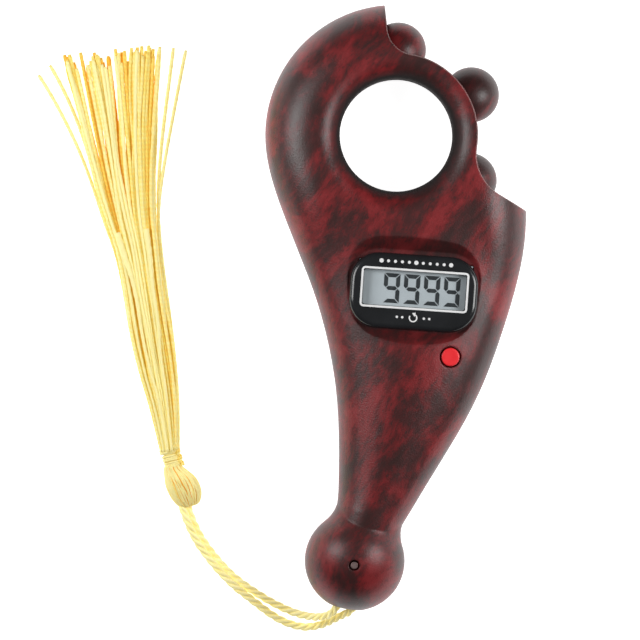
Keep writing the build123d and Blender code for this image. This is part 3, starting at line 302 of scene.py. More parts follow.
# Display: the printed line round the panel, the digits, and the marks above and below, which are placed
# from the display's middle
DISPLAY = Vector((5.55, -29.75)) * MM
PRINT = 0.03 * MM  # thickness of printed marks and of the panel's segments
LINE_LENGTH = 20.9 * MM
LINE_HEIGHT = 7.85 * MM
LINE_WIDTH = 0.4 * MM
LINE_CORNER = 0.75 * MM
DOT_RISE = 5.2 * MM
DOT_PITCH = 1.35 * MM
DOT_RADIUS = 0.3 * MM
LARGE_DOT_RADIUS = 0.42 * MM
DOTS_ASIDE = 5  # on each side of the middle one; that one and the last ones are large
ARROW_SHIFT = 0.1 * MM
ARROW_DROP = 5.5 * MM
ARROW_RADIUS = 0.72 * MM
ARROW_WIDTH = 0.26 * MM
ARROW_START = -210  # degrees
ARROW_END = 60  # degrees
ARROW_HEAD = ((-0.62, 0.30), (-0.08, -0.42), (0.10, 0.46))  # corners from the arc's end, in millimetres
ARROW_DOTS = (-3, -2, 2, 3)
ARROW_DOT_PITCH = 1.05 * MM
ARROW_DOT_RADIUS = 0.24 * MM
DIGIT_COUNT = 4
DIGIT_WIDTH = 3.12 * MM
DIGIT_HEIGHT = 5.75 * MM
DIGIT_PITCH = 3.89 * MM
DIGIT_STROKE = 0.78 * MM
DIGIT_SLIT = 0.11 * MM
DIGIT_LIFT = 0.01 * MM  # over the panel
DIGITS_RIGHT = 8.81 * MM  # from the display's middle to the right edge of the last digit


class Shader:
    """One material's node tree, with a short call for each kind of node used here."""

    def __init__(self, name, **sockets):
        self.material = bpy.data.materials.new(name)
        self.material.use_nodes = True
        self.nodes = self.material.node_tree.nodes
        self.links = self.material.node_tree.links
        self.surface = self.nodes["Principled BSDF"]
        self.finish(**sockets)

    def give(self, node, socket, value):
        """Sets a socket, or links it if the value is another node's output."""
        if isinstance(value, bpy.types.NodeSocket):
            self.links.new(value, node.inputs[socket])
        else:
            node.inputs[socket].default_value = value

    def node(self, kind, sockets, **settings):
        made = self.nodes.new("ShaderNode" + kind)
        for name, value in settings.items():
            setattr(made, name, value)
        for socket, value in sockets.items():
            self.give(made, socket, value)
        return made

    def millimetres(self):
        """Coordinates of the object, in millimetres."""
        place = self.node("TexCoord", {}).outputs["Object"]
        return self.stretched(place, (1000, 1000, 1000))

    def stretched(self, vector, scale, turn=0.0, shift=(0, 0, 0)):
        rotation = (0, 0, math.radians(turn))
        sockets = {"Vector": vector, "Location": shift, "Rotation": rotation, "Scale": scale}
        return self.node("Mapping", sockets).outputs["Vector"]

    def noise(self, vector, scale=1.0, detail=2.0, roughness=0.5, output="Fac"):
        sockets = {"Vector": vector, "Scale": scale, "Detail": detail, "Roughness": roughness}
        return self.node("TexNoise", sockets).outputs[output]

    def value(self, operation, first, second=0.0, third=0.0):
        sockets = {0: first, 1: second, 2: third}
        return self.node("Math", sockets, operation=operation).outputs["Value"]

    def vectors(self, operation, first, second=(0, 0, 0), output="Vector"):
        return self.node("VectorMath", {0: first, 1: second}, operation=operation).outputs[output]

    def scaled(self, vector, factor):
        sockets = {0: vector, "Scale": factor}
        return self.node("VectorMath", sockets, operation="SCALE").outputs["Vector"]

    def split(self, vector):
        """The three parts of a vector."""
        return self.node("SeparateXYZ", {"Vector": vector}).outputs

    def ramp(self, share, *stops):
        """Colours or greys at these positions, blended in between."""
        made = self.node("ValToRGB", {"Fac": share})
        points = made.color_ramp.elements
        while len(points) < len(stops):
            points.new(1.0)
        for point, (position, colour) in zip(points, stops):
            point.position = position
            point.color = (*colour, 1.0) if hasattr(colour, "__len__") else (colour, colour, colour, 1.0)
        return made.outputs["Color"]

    def spread(self, share, first, last, span=NOISE_SPAN):
        """From one colour or grey to another while the share crosses the span."""
        return self.ramp(share, (span[0], first), (span[1], last))

    def mixed(self, share, first, second):
        first, second = [(*c, 1.0) if isinstance(c, tuple) else c for c in (first, second)]
        sockets = {"Fac": share, "Color1": first, "Color2": second}
        return self.node("MixRGB", sockets).outputs["Color"]

    def attribute(self, name):
        return self.node("Attribute", {}, attribute_name=name).outputs["Fac"]

    def bump(self, height, strength, depth, normal=None):
        """Relief of this depth in metres, on top of another relief if one is given."""
        sockets = {"Height": height, "Strength": strength, "Distance": depth}
        if normal is not None:
            sockets["Normal"] = normal
        return self.node("Bump", sockets).outputs["Normal"]

    def edges(self, radius):
        """Normals that round off sharp edges by this radius, so that they catch the light."""
        return self.node("Bevel", {"Radius": radius}, samples=4).outputs["Normal"]

    def sharp_edges(self, rounded):
        """1 along sharp edges and 0 elsewhere, from the normals that round them off."""
        flat = self.node("NewGeometry", {}).outputs["Normal"]
        turn = self.vectors("DOT_PRODUCT", rounded, flat, output="Value")
        return self.spread(turn, 1.0, 0.0, span=HIGHLIGHT_TURN)

    def finish(self, **sockets):
        for socket, value in sockets.items():
            self.give(self.surface, socket.replace("_", " "), value)
        return self.material


def rosewood(name, shift, shell=False, shade=0.0):
    """Satin plastic printed as rosewood: dark patches and flecks over wine red, along one grain."""
    shader = Shader(name, Specular_IOR_Level=WOOD_SPECULAR)
    place = shader.stretched(shader.millimetres(), (1, 1, 1), shift=shift)
    drift = shader.noise(place, DRIFT_SCALE, detail=1.0, output="Color")
    drift = shader.vectors("SUBTRACT", drift, (0.5, 0.5, 0.5))
    drift = shader.scaled(drift, DRIFT_REACH)
    place = shader.vectors("ADD", place, drift)
    grain = shader.stretched(place, (1, 1, 1), turn=GRAIN_TURN)
    patch = shader.noise(shader.stretched(grain, PATCH_SCALE), detail=3.0)
    streak = shader.noise(shader.stretched(grain, STREAK_SCALE), detail=3.0, roughness=0.6)
    fibre = shader.noise(shader.stretched(grain, FIBRE_SCALE), roughness=0.55)
    fleck = shader.spread(fibre, 0.0, 1.0, span=FLECK_SPAN)
    tone = shader.value("MULTIPLY_ADD", streak, STREAK_WEIGHT, TONE_SHIFT - shade)
    tone = shader.value("ADD", shader.value("MULTIPLY", patch, PATCH_WEIGHT), tone)
    tone = shader.value("SUBTRACT", tone, shader.value("MULTIPLY", fleck, FLECK_WEIGHT))
    colour = shader.ramp(tone, *WOOD_TONES)
    roughness = shader.spread(streak, *WOOD_GLOSS)

    soft = shader.edges(WOOD_EDGE)
    stipple = shader.noise(shader.millimetres(), STIPPLE_SCALE)
    normal = shader.bump(stipple, *STIPPLE_RELIEF, soft)
    normal = shader.bump(fibre, *FIBRE_RELIEF, normal)
    _, up, depth = shader.split(shader.millimetres())
    depth = shader.value("ABSOLUTE", depth)
    if shell:
        # Painted highlight: a pale line along the sharp edges of the bead window, where they would catch
        # the light
        edge_highlight = shader.sharp_edges(soft)
        edge_highlight = shader.value("MULTIPLY", edge_highlight, shader.value("GREATER_THAN", up, HIGHLIGHT_ABOVE))
        edge_highlight = shader.value("MULTIPLY", edge_highlight, shader.value("GREATER_THAN", depth, HIGHLIGHT_OFF_SEAM))
        colour = shader.mixed(shader.value("MULTIPLY", edge_highlight, HIGHLIGHT_SHARE), colour, EDGE_HIGHLIGHT_COLOUR)

        # Painted shade: the roll into the finger hole and the display's pocket round the bezel are
        # darkened, and the hole made rougher
        flat = shader.stretched(shader.millimetres(), (1, 1, 0))
        reach = shader.vectors("LENGTH", flat, output="Value")
        full, end = BORE_SHADE
        hole_shade = shader.value("SUBTRACT", 1.0, shader.value("MULTIPLY", reach, 1 / end))
        hole_shade = shader.spread(hole_shade, 0.0, 1.0, span=(0.0, 1 - full / end))
        # Painted shade in the display's pocket, round the bezel
        pocket = shader.vectors("SUBTRACT", flat, POCKET_PLACE)
        pocket = shader.stretched(pocket, POCKET_REACH, turn=-POCKET_TURN)
        right, high = [shader.value("POWER", part, POCKET_POWER) for part in shader.split(pocket)[:2]]
        pocket = shader.spread(shader.value("ADD", right, high), POCKET_SHADE_SHARE, 0.0, span=POCKET_FADE)
        colour = shader.mixed(pocket, colour, POCKET_SHADE_COLOUR)
        colour = shader.mixed(hole_shade, colour, HOLE_SHADE_AND_SEAM_COLOUR)
        roughness = shader.mixed(hole_shade, roughness, BORE_ROUGHNESS)

    # Moulded halves meet in a fine dark line
    line = shader.value("LESS_THAN", depth, SEAM_HALF)
    colour = shader.mixed(line, colour, HOLE_SHADE_AND_SEAM_COLOUR)
    normal = shader.bump(line, *SEAM_RELIEF, normal)
    return shader.finish(Base_Color=colour, Roughness=roughness, Normal=normal)


def moulded(name, dark, light, patch, gloss, relief):
    """Moulded, cast or painted surface: two close tones in soft patches, a fine relief, uneven gloss."""
    shader = Shader(name)
    place = shader.millimetres()
    tone = shader.noise(place, 1.0 / patch, detail=3.0)
    fine = shader.noise(place, FINE_SCALE)
    return shader.finish(
        Base_Color=shader.spread(tone, dark, light),
        Roughness=shader.spread(tone, *gloss, span=GLOSS_SPAN),
        Normal=shader.bump(fine, FINE_STRENGTH, relief, shader.edges(FINE_EDGE)),
    )


def brushed(name, dark, light, gloss):
    """Drawn or plated metal with fine lines along X."""
    shader = Shader(name, Metallic=1.0)
    lines = shader.stretched(shader.millimetres(), BRUSH_SCALE)
    lines = shader.noise(lines, detail=3.0, roughness=0.6)
    return shader.finish(
        Base_Color=shader.spread(lines, dark, light),
        Roughness=shader.spread(lines, *gloss),
        Normal=shader.bump(lines, *BRUSH_RELIEF),
    )


def clear(name, tint, gloss):
    """Thin clear plastic or glass: lets light straight through and mirrors a little, more at a slant."""
    shader = Shader(name)
    smear = shader.noise(shader.millimetres(), SMEAR_SCALE, detail=3.0)
    mirror = shader.node("BsdfGlossy", {"Roughness": shader.spread(smear, *gloss)})
    through = shader.node("BsdfTransparent", {"Color": (*tint, 1.0)})
    inside = shader.node("NewGeometry", {}).outputs["Backfacing"]
    share = shader.node("Fresnel", {"IOR": CLEAR_IOR}).outputs["Fac"]
    share = shader.value("MULTIPLY", share, shader.value("SUBTRACT", 1.0, inside))
    both = shader.node("MixShader", {0: share, 1: through.outputs["BSDF"], 2: mirror.outputs["BSDF"]})
    shader.links.new(both.outputs["Shader"], shader.nodes["Material Output"].inputs["Surface"])
    shader.nodes.remove(shader.surface)
    return shader.material


def panel_glass():
    """Liquid crystal panel: flat grey with a slight fall of light and the polariser's faint lines."""
    shader = Shader("lcd_grey", Specular_IOR_Level=0.35)
    place = shader.millimetres()
    across = shader.noise(shader.stretched(place, PANEL_SCALE))
    lines = shader.noise(shader.stretched(place, PANEL_LINES), detail=1.0)
    colour = shader.spread(across, *PANEL_TONES)
    drawn = shader.spread(lines, 0.0, PANEL_LINE_SHARE, span=PANEL_LINE_SPAN)
    return shader.finish(
        Base_Color=shader.mixed(drawn, colour, PANEL_LINE_COLOUR),
        Roughness=shader.spread(lines, *PANEL_GLOSS),
        Normal=shader.bump(lines, *PANEL_RELIEF),
    )


def board_mask():
    """Green circuit board with paler copper tracks under the mask."""
    shader = Shader("board_green", Specular_IOR_Level=0.5)
    place = shader.millimetres()
    tracks = shader.node(
        "TexBrick",
        {
            "Vector": shader.stretched(place, (1, 1, 1), turn=90.0),
            "Color1": (0.010, 0.085, 0.030, 1.0),
            "Color2": (0.008, 0.070, 0.026, 1.0),
            "Mortar": (0.035, 0.200, 0.070, 1.0),
            "Scale": TRACK_SCALE,
            "Mortar Size": TRACK_WIDTH,
        },
    ).outputs
    tone = shader.noise(place, BOARD_SCALE, detail=3.0)
    shadow = shader.spread(tone, 0.0, BOARD_SHADOW_SHARE, span=BOARD_SHADOW_SPAN)
    return shader.finish(
        Base_Color=shader.mixed(shadow, tracks["Color"], BOARD_SHADOW),
        Roughness=shader.spread(tone, *BOARD_GLOSS),
        Normal=shader.bump(tracks["Fac"], *TRACK_RELIEF),
    )


def silk(name, tones, pitch, glow, strength):
    """Silky thread: a shade of its own for each thread, fine filaments turning along it, and a painted glow
    that lifts the shade between threads.
    """
    shader = Shader(name, Specular_IOR_Level=0.2, Sheen_Weight=0.08, Sheen_Roughness=0.4)
    # Painted light: a faint glow lifts the shade between and under the threads
    shader.finish(Emission_Color=(*glow, 1.0), Emission_Strength=strength)
    along = shader.value("MULTIPLY", shader.attribute("along"), TURN / pitch)
    turn = shader.value("ADD", along, shader.attribute("round"))
    filament = shader.value("MULTIPLY_ADD", shader.value("SINE", turn), 0.5, 0.5)
    patch = shader.noise(shader.millimetres(), SILK_PATCH_SCALE, detail=3.0)
    fuzz = shader.noise(shader.millimetres(), SILK_FUZZ_SCALE)
    tone = shader.attribute("shade")
    for change, weight in ((patch, SILK_PATCH_WEIGHT), (filament, SILK_FILAMENT_WEIGHT)):
        change = shader.value("SUBTRACT", change, 0.5)
        tone = shader.value("ADD", tone, shader.value("MULTIPLY", change, weight))
    normal = shader.bump(filament, *SILK_RELIEF)
    normal = shader.bump(fuzz, *FUZZ_RELIEF, normal)
    return shader.finish(
        Base_Color=shader.ramp(tone, *tones),
        Roughness=shader.spread(patch, *SILK_GLOSS),
        Normal=normal,
    )


def link(name, mesh, material, body):
    """A new piece of the object, riding on a body."""
    piece = bpy.data.objects.new(name, mesh)
    mesh.materials.append(material)
    scene.collection.objects.link(piece)
    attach(piece, body)
    return piece


# Camera, floor and light


def add_camera():
    data = bpy.data.cameras.new("photo_camera")
    data.lens = LENS
    data.sensor_width = SENSOR
    camera = bpy.data.objects.new("photo_camera", data)
    camera.location = (*VIEW_CENTRE, VIEW_WIDTH * LENS / SENSOR)
    camera.rotation_euler = (0, 0, math.radians(VIEW_ROLL))
    scene.collection.objects.link(camera)
    scene.camera = camera


def add_floor():
    """Plain white floor just under the lowest point of the object."""
    shader = Shader("floor_white", Roughness=0.7, Specular_IOR_Level=0.2, Emission_Strength=FLOOR_GLOW)
    colour = shader.spread(shader.noise(shader.millimetres(), 0.02), *FLOOR_TONES)
    material = shader.finish(Base_Color=colour, Emission_Color=colour)
    height = cad_box[0].z - FLOOR_GAP
    corners = [(x * FLOOR_HALF, y * FLOOR_HALF, height) for x, y in ((-1, -1), (1, -1), (1, 1), (-1, 1))]
    mesh = bpy.data.meshes.new("floor")
    mesh.from_pydata(corners, [], [(0, 1, 2, 3)])
    mesh.materials.append(material)
    floor = bpy.data.objects.new("floor", mesh)
    scene.collection.objects.link(floor)


def add_softbox(name, place, aim, power):
    data = bpy.data.lights.new(name, "AREA")
    data.shape = "RECTANGLE"
    data.size = SOFTBOX_WIDTH
    data.size_y = SOFTBOX_HEIGHT
    data.energy = power
    lamp = bpy.data.objects.new(name, data)
    lamp.location = place
    lamp.rotation_euler = (Vector(aim) - Vector(place)).to_track_quat("-Z", "Y").to_euler()
    scene.collection.objects.link(lamp)


def add_surround():
    """Studio all round: darker overhead than at the level of the floor, and darker still along Y."""
    world = bpy.data.worlds.new("studio")
    world.use_nodes = True
    tree = world.node_tree
    place = tree.nodes.new("ShaderNodeTexCoord")
    split = tree.nodes.new("ShaderNodeSeparateXYZ")
    ramp = tree.nodes.new("ShaderNodeValToRGB")
    greys = (STUDIO_HORIZON, STUDIO_OVERHEAD)
    for point, position, grey in zip(ramp.color_ramp.elements, STUDIO_RISE, greys):
        point.position = position
        point.color = (grey, grey, grey, 1.0)
    away = tree.nodes.new("ShaderNodeMath")
    away.operation = "ABSOLUTE"
    facing = tree.nodes.new("ShaderNodeMapRange")
    facing.inputs["From Min"].default_value = STUDIO_ASIDE[0]
    facing.inputs["From Max"].default_value = STUDIO_ASIDE[1]
    facing.inputs["To Min"].default_value = 1.0
    facing.inputs["To Max"].default_value = STUDIO_ALONG_Y
    tree.links.new(place.outputs["Generated"], split.inputs["Vector"])
    tree.links.new(split.outputs["Z"], ramp.inputs["Fac"])
    tree.links.new(split.outputs["Y"], away.inputs[0])
    tree.links.new(away.outputs["Value"], facing.inputs["Value"])
    tree.links.new(ramp.outputs["Color"], tree.nodes["Background"].inputs["Color"])
    tree.links.new(facing.outputs["Result"], tree.nodes["Background"].inputs["Strength"])
    scene.world = world


add_camera()
add_floor()
for softbox in SOFTBOXES:
    add_softbox(*softbox)
add_surround()
scene.view_settings.view_transform = "Standard"


# Threads and cords


def heading(tilt):
    """Direction on the floor, from Y towards -X by this angle in degrees."""
    return Vector((-math.sin(math.radians(tilt)), math.cos(math.radians(tilt)), 0))


def right_of(way):
    return Vector((way.y, -way.x, 0))


def frames_along(path):
    """Two directions square to the path at each of its points, turning as little as they can."""
    steps = np.gradient(path, axis=0)
    steps /= np.linalg.norm(steps, axis=1)[:, None]
    first = np.cross(steps[0], (0.0, 0.0, 1.0))
    if np.linalg.norm(first) < 1e-3:
        first = np.cross(steps[0], (0.0, 1.0, 0.0))
    sides = np.empty_like(path)
    for i, step in enumerate(steps):
        first = first - step * (first @ step)
        first /= np.linalg.norm(first)
        sides[i] = first
    return sides, np.cross(steps, sides)


def lengths_along(path):
    return np.concatenate([[0.0], np.cumsum(np.linalg.norm(np.diff(path, axis=0), axis=1))])


class Threads:
    """Gathers threads into one mesh. A vertex keeps its thread's shade and its place along and round it."""

    def __init__(self):
        self.points, self.faces = [], []
        self.kept = {"shade": [], "along": [], "round": []}
        self.count = 0

    def add(self, path, radii, shade, sides, lobes=0, depth=0.0, pitch=math.inf):
        """A thread along the path. If its section has lobes, they turn once over the pitch, as plies do."""
        path = np.asarray(path, float)
        radii = np.broadcast_to(np.asarray(radii, float), len(path))
        first, second = frames_along(path)
        along = lengths_along(path)
        angles = np.arange(sides) * TURN / sides
        twist = along[:, None] * TURN / pitch
        reach = radii[:, None] * (1 + depth * np.cos(lobes * (angles[None, :] - twist)))
        ring = (
            path[:, None, :]
            + (reach * np.cos(angles))[:, :, None] * first[:, None, :]
            + (reach * np.sin(angles))[:, :, None] * second[:, None, :]
        )
        rows = len(path)
        self.points.append(ring.reshape(-1, 3))
        self.kept["shade"].append(np.full(rows * sides, shade))
        self.kept["along"].append(np.repeat(along / MM, sides))
        self.kept["round"].append(np.tile(angles, rows))
        start = self.count
        for i in range(rows - 1):
            for k in range(sides):
                a = start + i * sides + k
                b = start + i * sides + (k + 1) % sides
                self.faces.append((a, b, b + sides, a + sides))
        self.faces.append(tuple(start + k for k in reversed(range(sides))))
        self.faces.append(tuple(start + (rows - 1) * sides + k for k in range(sides)))
        self.count += rows * sides

    def mesh(self, name):
        made = bpy.data.meshes.new(name)
        made.from_pydata(np.concatenate(self.points).tolist(), [], self.faces)
        for key, values in self.kept.items():
            made.attributes.new(key, "FLOAT", "POINT").data.foreach_set("value", np.concatenate(values))
        made.shade_smooth()
        return made


def smooth_line(name, points, resolution=40):
    """Points along the smooth line that a few points guide."""
    curve = bpy.data.curves.new(name, "CURVE")
    curve.dimensions = "3D"
    curve.resolution_u = resolution
    spline = curve.splines.new("NURBS")
    spline.points.add(len(points) - 1)
    for target, point in zip(spline.points, points):
        target.co = (*point, 1.0)
    spline.order_u = 3
    spline.use_endpoint_u = True
    holder = bpy.data.objects.new(name, curve)
    mesh = bpy.data.meshes.new_from_object(holder)
    line = np.array([vertex.co for vertex in mesh.vertices])
    bpy.data.meshes.remove(mesh)
    bpy.data.curves.remove(curve)
    return line


def flat_line(name, points):
    """The same for points in a plane, given in millimetres."""
    return smooth_line(name, [(x * MM, y * MM, 0.0) for x, y in points])


def twisted_cord(line):
    """Plies laid round the line, each with filaments turning the other way."""
    threads = Threads()
    ply_radius = CORD_RADIUS / (1 + 2 / math.sqrt(3))  # of three round plies that touch
    orbit = CORD_RADIUS - ply_radius
    first, second = frames_along(line)
    along = lengths_along(line)
    for ply, shade in enumerate(PLY_SHADES):
        angle = ply * TURN / len(PLY_SHADES) - along * TURN / PLY_PITCH
        path = line + orbit * (np.cos(angle)[:, None] * first + np.sin(angle)[:, None] * second)
        threads.add(path, ply_radius * PLY_SWELL, shade, **PLY_SECTION)
    return threads


tassel_axis = heading(TASSEL_TILT)
tassel_side = right_of(tassel_axis)
cord_out = -heading(-CORD_TILT)
cord_side = -right_of(cord_out)
left_start = PIN - cord_side * LOOP_RADIUS
right_start = PIN + cord_side * LOOP_RADIUS
left_end = TASSEL_FOOT + tassel_side * LEFT_ASIDE * MM - END_RISE
right_end = TASSEL_FOOT + tassel_side * RIGHT_ASIDE * MM + END_RISE

left_points = [
    left_start,
    left_start + cord_out * 5.4 * MM,
    left_start + cord_out * 9.6 * MM,
    (-7.6 * MM, -94.9 * MM, -3.0 * MM),
    (-11.2 * MM, -95.0 * MM, -6.8 * MM),
    (-15.4 * MM, -93.9 * MM, CORD_REST),
    (-20.2 * MM, -91.7 * MM, CORD_REST),
    (-26.0 * MM, -88.3 * MM, CORD_REST),
    (-31.0 * MM, -83.3 * MM, CORD_REST),
    left_end - tassel_axis * STRAIGHT_RUN * MM,
    left_end,
]
right_points = [
    right_start,
    right_start + cord_out * 4.5 * MM,
    right_start + cord_out * 9.0 * MM,
    (-4.6 * MM, -94.5 * MM, -3.2 * MM),
    (-7.8 * MM, -96.6 * MM, -6.8 * MM),
    (-11.8 * MM, -97.4 * MM, CORD_REST),
    (-16.6 * MM, -96.0 * MM, CORD_REST),
    (-20.9 * MM, -93.2 * MM, CORD_REST + 0.3 * MM),
    (-26.6 * MM, -89.3 * MM, CORD_REST + 1.2 * MM),
    (-31.9 * MM, -83.9 * MM, CORD_REST + 1.3 * MM),
    right_end - tassel_axis * STRAIGHT_RUN * MM,
    right_end,
]

cord_silk = silk("cord_silk", CORD_TONES, CORD_FILAMENTS, CORD_GLOW, CORD_GLOW_STRENGTH)
tassel_silk = silk("tassel_silk", TASSEL_TONES, TASSEL_FILAMENTS, TASSEL_GLOW, TASSEL_GLOW_STRENGTH)

for side, points in (("left", left_points), ("right", right_points)):
    line = smooth_line("route_" + side, points)
    cord = link("cord_" + side, twisted_cord(line).mesh("cord_" + side), cord_silk, "casing")
    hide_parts("cord_strand_" + side)

loop_points = [left_start]
for angle in range(LOOP_STEP, 180, LOOP_STEP):
    reach = LOOP_RADIUS / math.cos(math.radians(LOOP_STEP / 2))
    spot = cord_side * -math.cos(math.radians(angle)) - cord_out * math.sin(math.radians(angle))
    loop_points.append(PIN + spot * reach)
loop_points.append(right_start)
loop_cord = twisted_cord(smooth_line("route_loop", loop_points))
loop = link("cord_round_pin", loop_cord.mesh("cord_round_pin"), cord_silk, "casing")
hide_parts("cord_loop")


# Tassel


def along_tassel(distance, out, angle, height=1.0):
    """Point this far from the tassel's foot and this far out from its axis, upwards times height."""
    aside = tassel_side * math.cos(angle) * out
    return TASSEL_FOOT + tassel_axis * distance + aside + Vector((0, 0, math.sin(angle) * out * height))


def tassel_head():
    """Threads gathered over the bulb, from the cords to the neck, on a darker inner layer that fills the
    gaps as painted shade between the outer threads.
    """
    threads = Threads()
    profile = flat_line("bulb_profile", BULB_PROFILE)
    rows = np.linspace(0, len(profile) - 1, BULB_ROWS).astype(int)
    for count, reach, darkest, lightest in BULB_LAYERS:
        for k in range(count):
            start = TURN * (k + rng.uniform(-BULB_SCATTER, BULB_SCATTER)) / count
            lean = rng.uniform(-BULB_TWIST, BULB_TWIST)
            wave = rng.uniform(0, TURN)
            lift = rng.uniform(-BULB_LIFT, BULB_LIFT)
            path, radii = [], []
            for distance, out, _ in profile[rows]:
                share = distance / BULB_LENGTH
                angle = start + lean * share + BULB_WAVE[0] * math.sin(BULB_WAVE[1] * share + wave)
                shift = tassel_side * BULB_LEAN * MM * max(0.0, 1 - share**2)
                path.append(along_tassel(distance, out * (reach + lift), angle, BULB_HEIGHT) + shift)
                radii.append(BULB_THREAD + BULB_SWELL * out)
            threads.add(path, radii, rng.uniform(darkest, lightest), **BULB_SECTION)
    return threads


def binding():
    """Thread wound round the neck, thicker for its last turns, its end stitched over them at one side."""
    threads = Threads()
    begin = BULB_LENGTH + BINDING_GAP
    shift = tassel_side * BINDING_ASIDE * MM
    for first, turns, pitch, thread in WINDINGS:
        path = []
        for i in range(int(turns * WINDING_STEPS) + 1):
            angle = TURN * i / WINDING_STEPS
            rise = first + pitch * i / WINDING_STEPS + UNEVEN_ALONG[0] * math.sin(angle * UNEVEN_ALONG[1])
            out = NECK_RADIUS + thread + UNEVEN_OUT[0] * math.sin(angle * UNEVEN_OUT[1])
            path.append(along_tassel(begin + rise, out, angle) + shift)
        threads.add(path, thread, WINDING_SHADE, **WINDING_SECTION)
    for phase, shade in STITCHES:
        path = []
        for i in range(STITCH_STEPS + 1):
            turn = STITCH_TURNS * TURN * i / STITCH_STEPS + phase
            middle = begin - STITCH_START + STITCH_LENGTH * i / STITCH_STEPS
            angle = STITCH_ANGLE[0] + STITCH_ANGLE[1] * math.cos(turn)
            out = NECK_RADIUS + (STITCH_OUT[0] + STITCH_OUT[1] * math.sin(turn)) * MM
            path.append(along_tassel(middle, out, angle) + shift)
        threads.add(path, STITCH_THREAD, shade, **STITCH_SECTION)
    return threads


skirt_axis = heading(SKIRT_TILT)
skirt_side = right_of(skirt_axis)
skirt_left = flat_line("skirt_left", SKIRT_LEFT)
skirt_right = flat_line("skirt_right", SKIRT_RIGHT)


def skirt_thread(threads, root, tip, bend, length, shade, layer, swell=1.0):
    """One thread of the skirt, from its place in the neck to its tip on the floor.

    Root and tip are places across the outline, from 0 to 1, and a larger bend goes from the one to the
    other later. Layer is the place in the pile, from 0 at the floor to 1 on top. Swell thickens the tip.
    """
    begin = TASSEL_FOOT + tassel_axis * (BULB_LENGTH + NECK_LENGTH - SKIRT_OVERLAP)
    floor = cad_box[0].z
    waves = []
    for _ in range(WAVE_COUNT):
        size = rng.uniform(*WAVE_SIZES) * MM
        turns = rng.uniform(*WAVE_TURNS)
        waves.append((size, turns, rng.uniform(*WAVE_PHASES)))
    path, radii = [], []
    for i in range(SKIRT_ROWS):
        t = i / (SKIRT_ROWS - 1)
        distance = t * length
        down = distance / SKIRT_LENGTH
        radius = (SKIRT_RADIUS[0] + SKIRT_RADIUS[1] * down) * MM * (1 + (swell - 1) * t**3)
        left = np.interp(distance, skirt_left[:, 0], skirt_left[:, 1])
        right = np.interp(distance, skirt_right[:, 0], skirt_right[:, 1])
        out = left + radius + (right - left - 2 * radius) * (root + (tip - root) * t**bend)
        wave = sum(size * math.sin(turns * t * math.pi + phase) for size, turns, phase in waves)
        out += min(1.0, WAVE_GROWTH * t) * wave
        sunk = max(0.0, 1 - distance / FALL_LENGTH) ** FALL_BEND
        pile = (SKIRT_PILE[0] - SKIRT_PILE[1] * down) * MM
        low = floor + SKIRT_LIFT + radius + (-NECK_RADIUS - NECK_SINK + TASSEL_FOOT.z - floor) * sunk
        spot = begin + skirt_axis * distance + skirt_side * out
        path.append((spot.x, spot.y, low + layer * (pile - 2 * radius)))
        radii.append(radius)
    radii[-1] *= SKIRT_TIP
    threads.add(path, radii, shade, **SKIRT_SECTION)


def clamped(share):
    return min(1.0, max(0.0, share))


def tassel_skirt():
    """The loose threads, packed at the neck and fanned out over the floor, a few astray and two short."""
    threads = Threads()
    golden = math.pi * (3 - math.sqrt(5))
    spread, tip_scatter = TIP_SPREAD
    gain, foot, shade_scatter = THREAD_SHADE
    for k in range(SKIRT_THREADS):
        # Places in the neck's round section, and the tips spread evenly over the width
        ring = math.sqrt((k + 0.5) / SKIRT_THREADS)
        across = ring * math.cos(golden * k)
        layer = (ring * math.sin(golden * k) + 1) / 2
        even = 2 / math.pi * (across * math.sqrt(1 - across**2) + math.asin(across))
        tip = clamped(0.5 + spread * even + rng.gauss(0, tip_scatter))
        # Painted shade: the lower a thread lies in the pile, the darker and more orange its tone, with a
        # random scatter on top
        shade = clamped(gain * layer + foot + rng.gauss(0, shade_scatter))
        length = SKIRT_LENGTH + rng.uniform(*THREAD_LENGTHS) * MM
        bend = rng.uniform(*THREAD_BENDS)
        skirt_thread(threads, 0.5 + 0.5 * across, tip, bend, length, shade, layer)
    for root, tip, bend, length in STRAYS:
        skirt_thread(threads, root, tip, bend, length * MM, STRAY_SHADE, STRAY_LAYER)
    for tip in SHORT_TIPS:
        root = SHORT_ROOT[0] + SHORT_ROOT[1] * tip
        skirt_thread(threads, root, tip, SHORT_BEND, SHORT_LENGTH, SHORT_SHADE, SHORT_LAYER, SHORT_SWELL)
    return threads


head = link("tassel_bulb", tassel_head().mesh("tassel_bulb"), tassel_silk, "casing")
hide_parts("tassel_head")
wrap = link("tassel_wrap", binding().mesh("tassel_wrap"), tassel_silk, "casing")
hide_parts("tassel_binding")
skirt = link("tassel_threads", tassel_skirt().mesh("tassel_threads"), tassel_silk, "casing")
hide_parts("tassel_skirt")


# Display: printed marks and the panel's segments


def plate(outlines, base):
    """Printed pieces on a level, one for each outline given as points round it."""
    points, faces = [], []
    for outline in outlines:
        start, count = len(points), len(outline)
        points += [(x, y, base) for x, y in outline]
        points += [(x, y, base + PRINT) for x, y in outline]
        faces.append(tuple(start + i for i in reversed(range(count))))
        faces.append(tuple(start + count + i for i in range(count)))
        for i in range(count):
            j = (i + 1) % count
            faces.append((start + i, start + j, start + count + j, start + count + i))
    return points, faces


def band(inner, outer, base):
    """Printed ring between two closed outlines with as many points."""
    count = len(inner)
    points = [(x, y, z) for z in (base, base + PRINT) for outline in (inner, outer) for x, y in outline]
    faces = []
    low_in, low_out, high_in, high_out = (k * count for k in range(4))
    for i in range(count):
        j = (i + 1) % count
        faces.append((low_in + i, low_in + j, low_out + j, low_out + i))
        faces.append((high_in + i, high_out + i, high_out + j, high_in + j))
        faces.append((low_out + i, low_out + j, high_out + j, high_out + i))
        faces.append((low_in + j, low_in + i, high_in + i, high_in + j))
    return points, faces


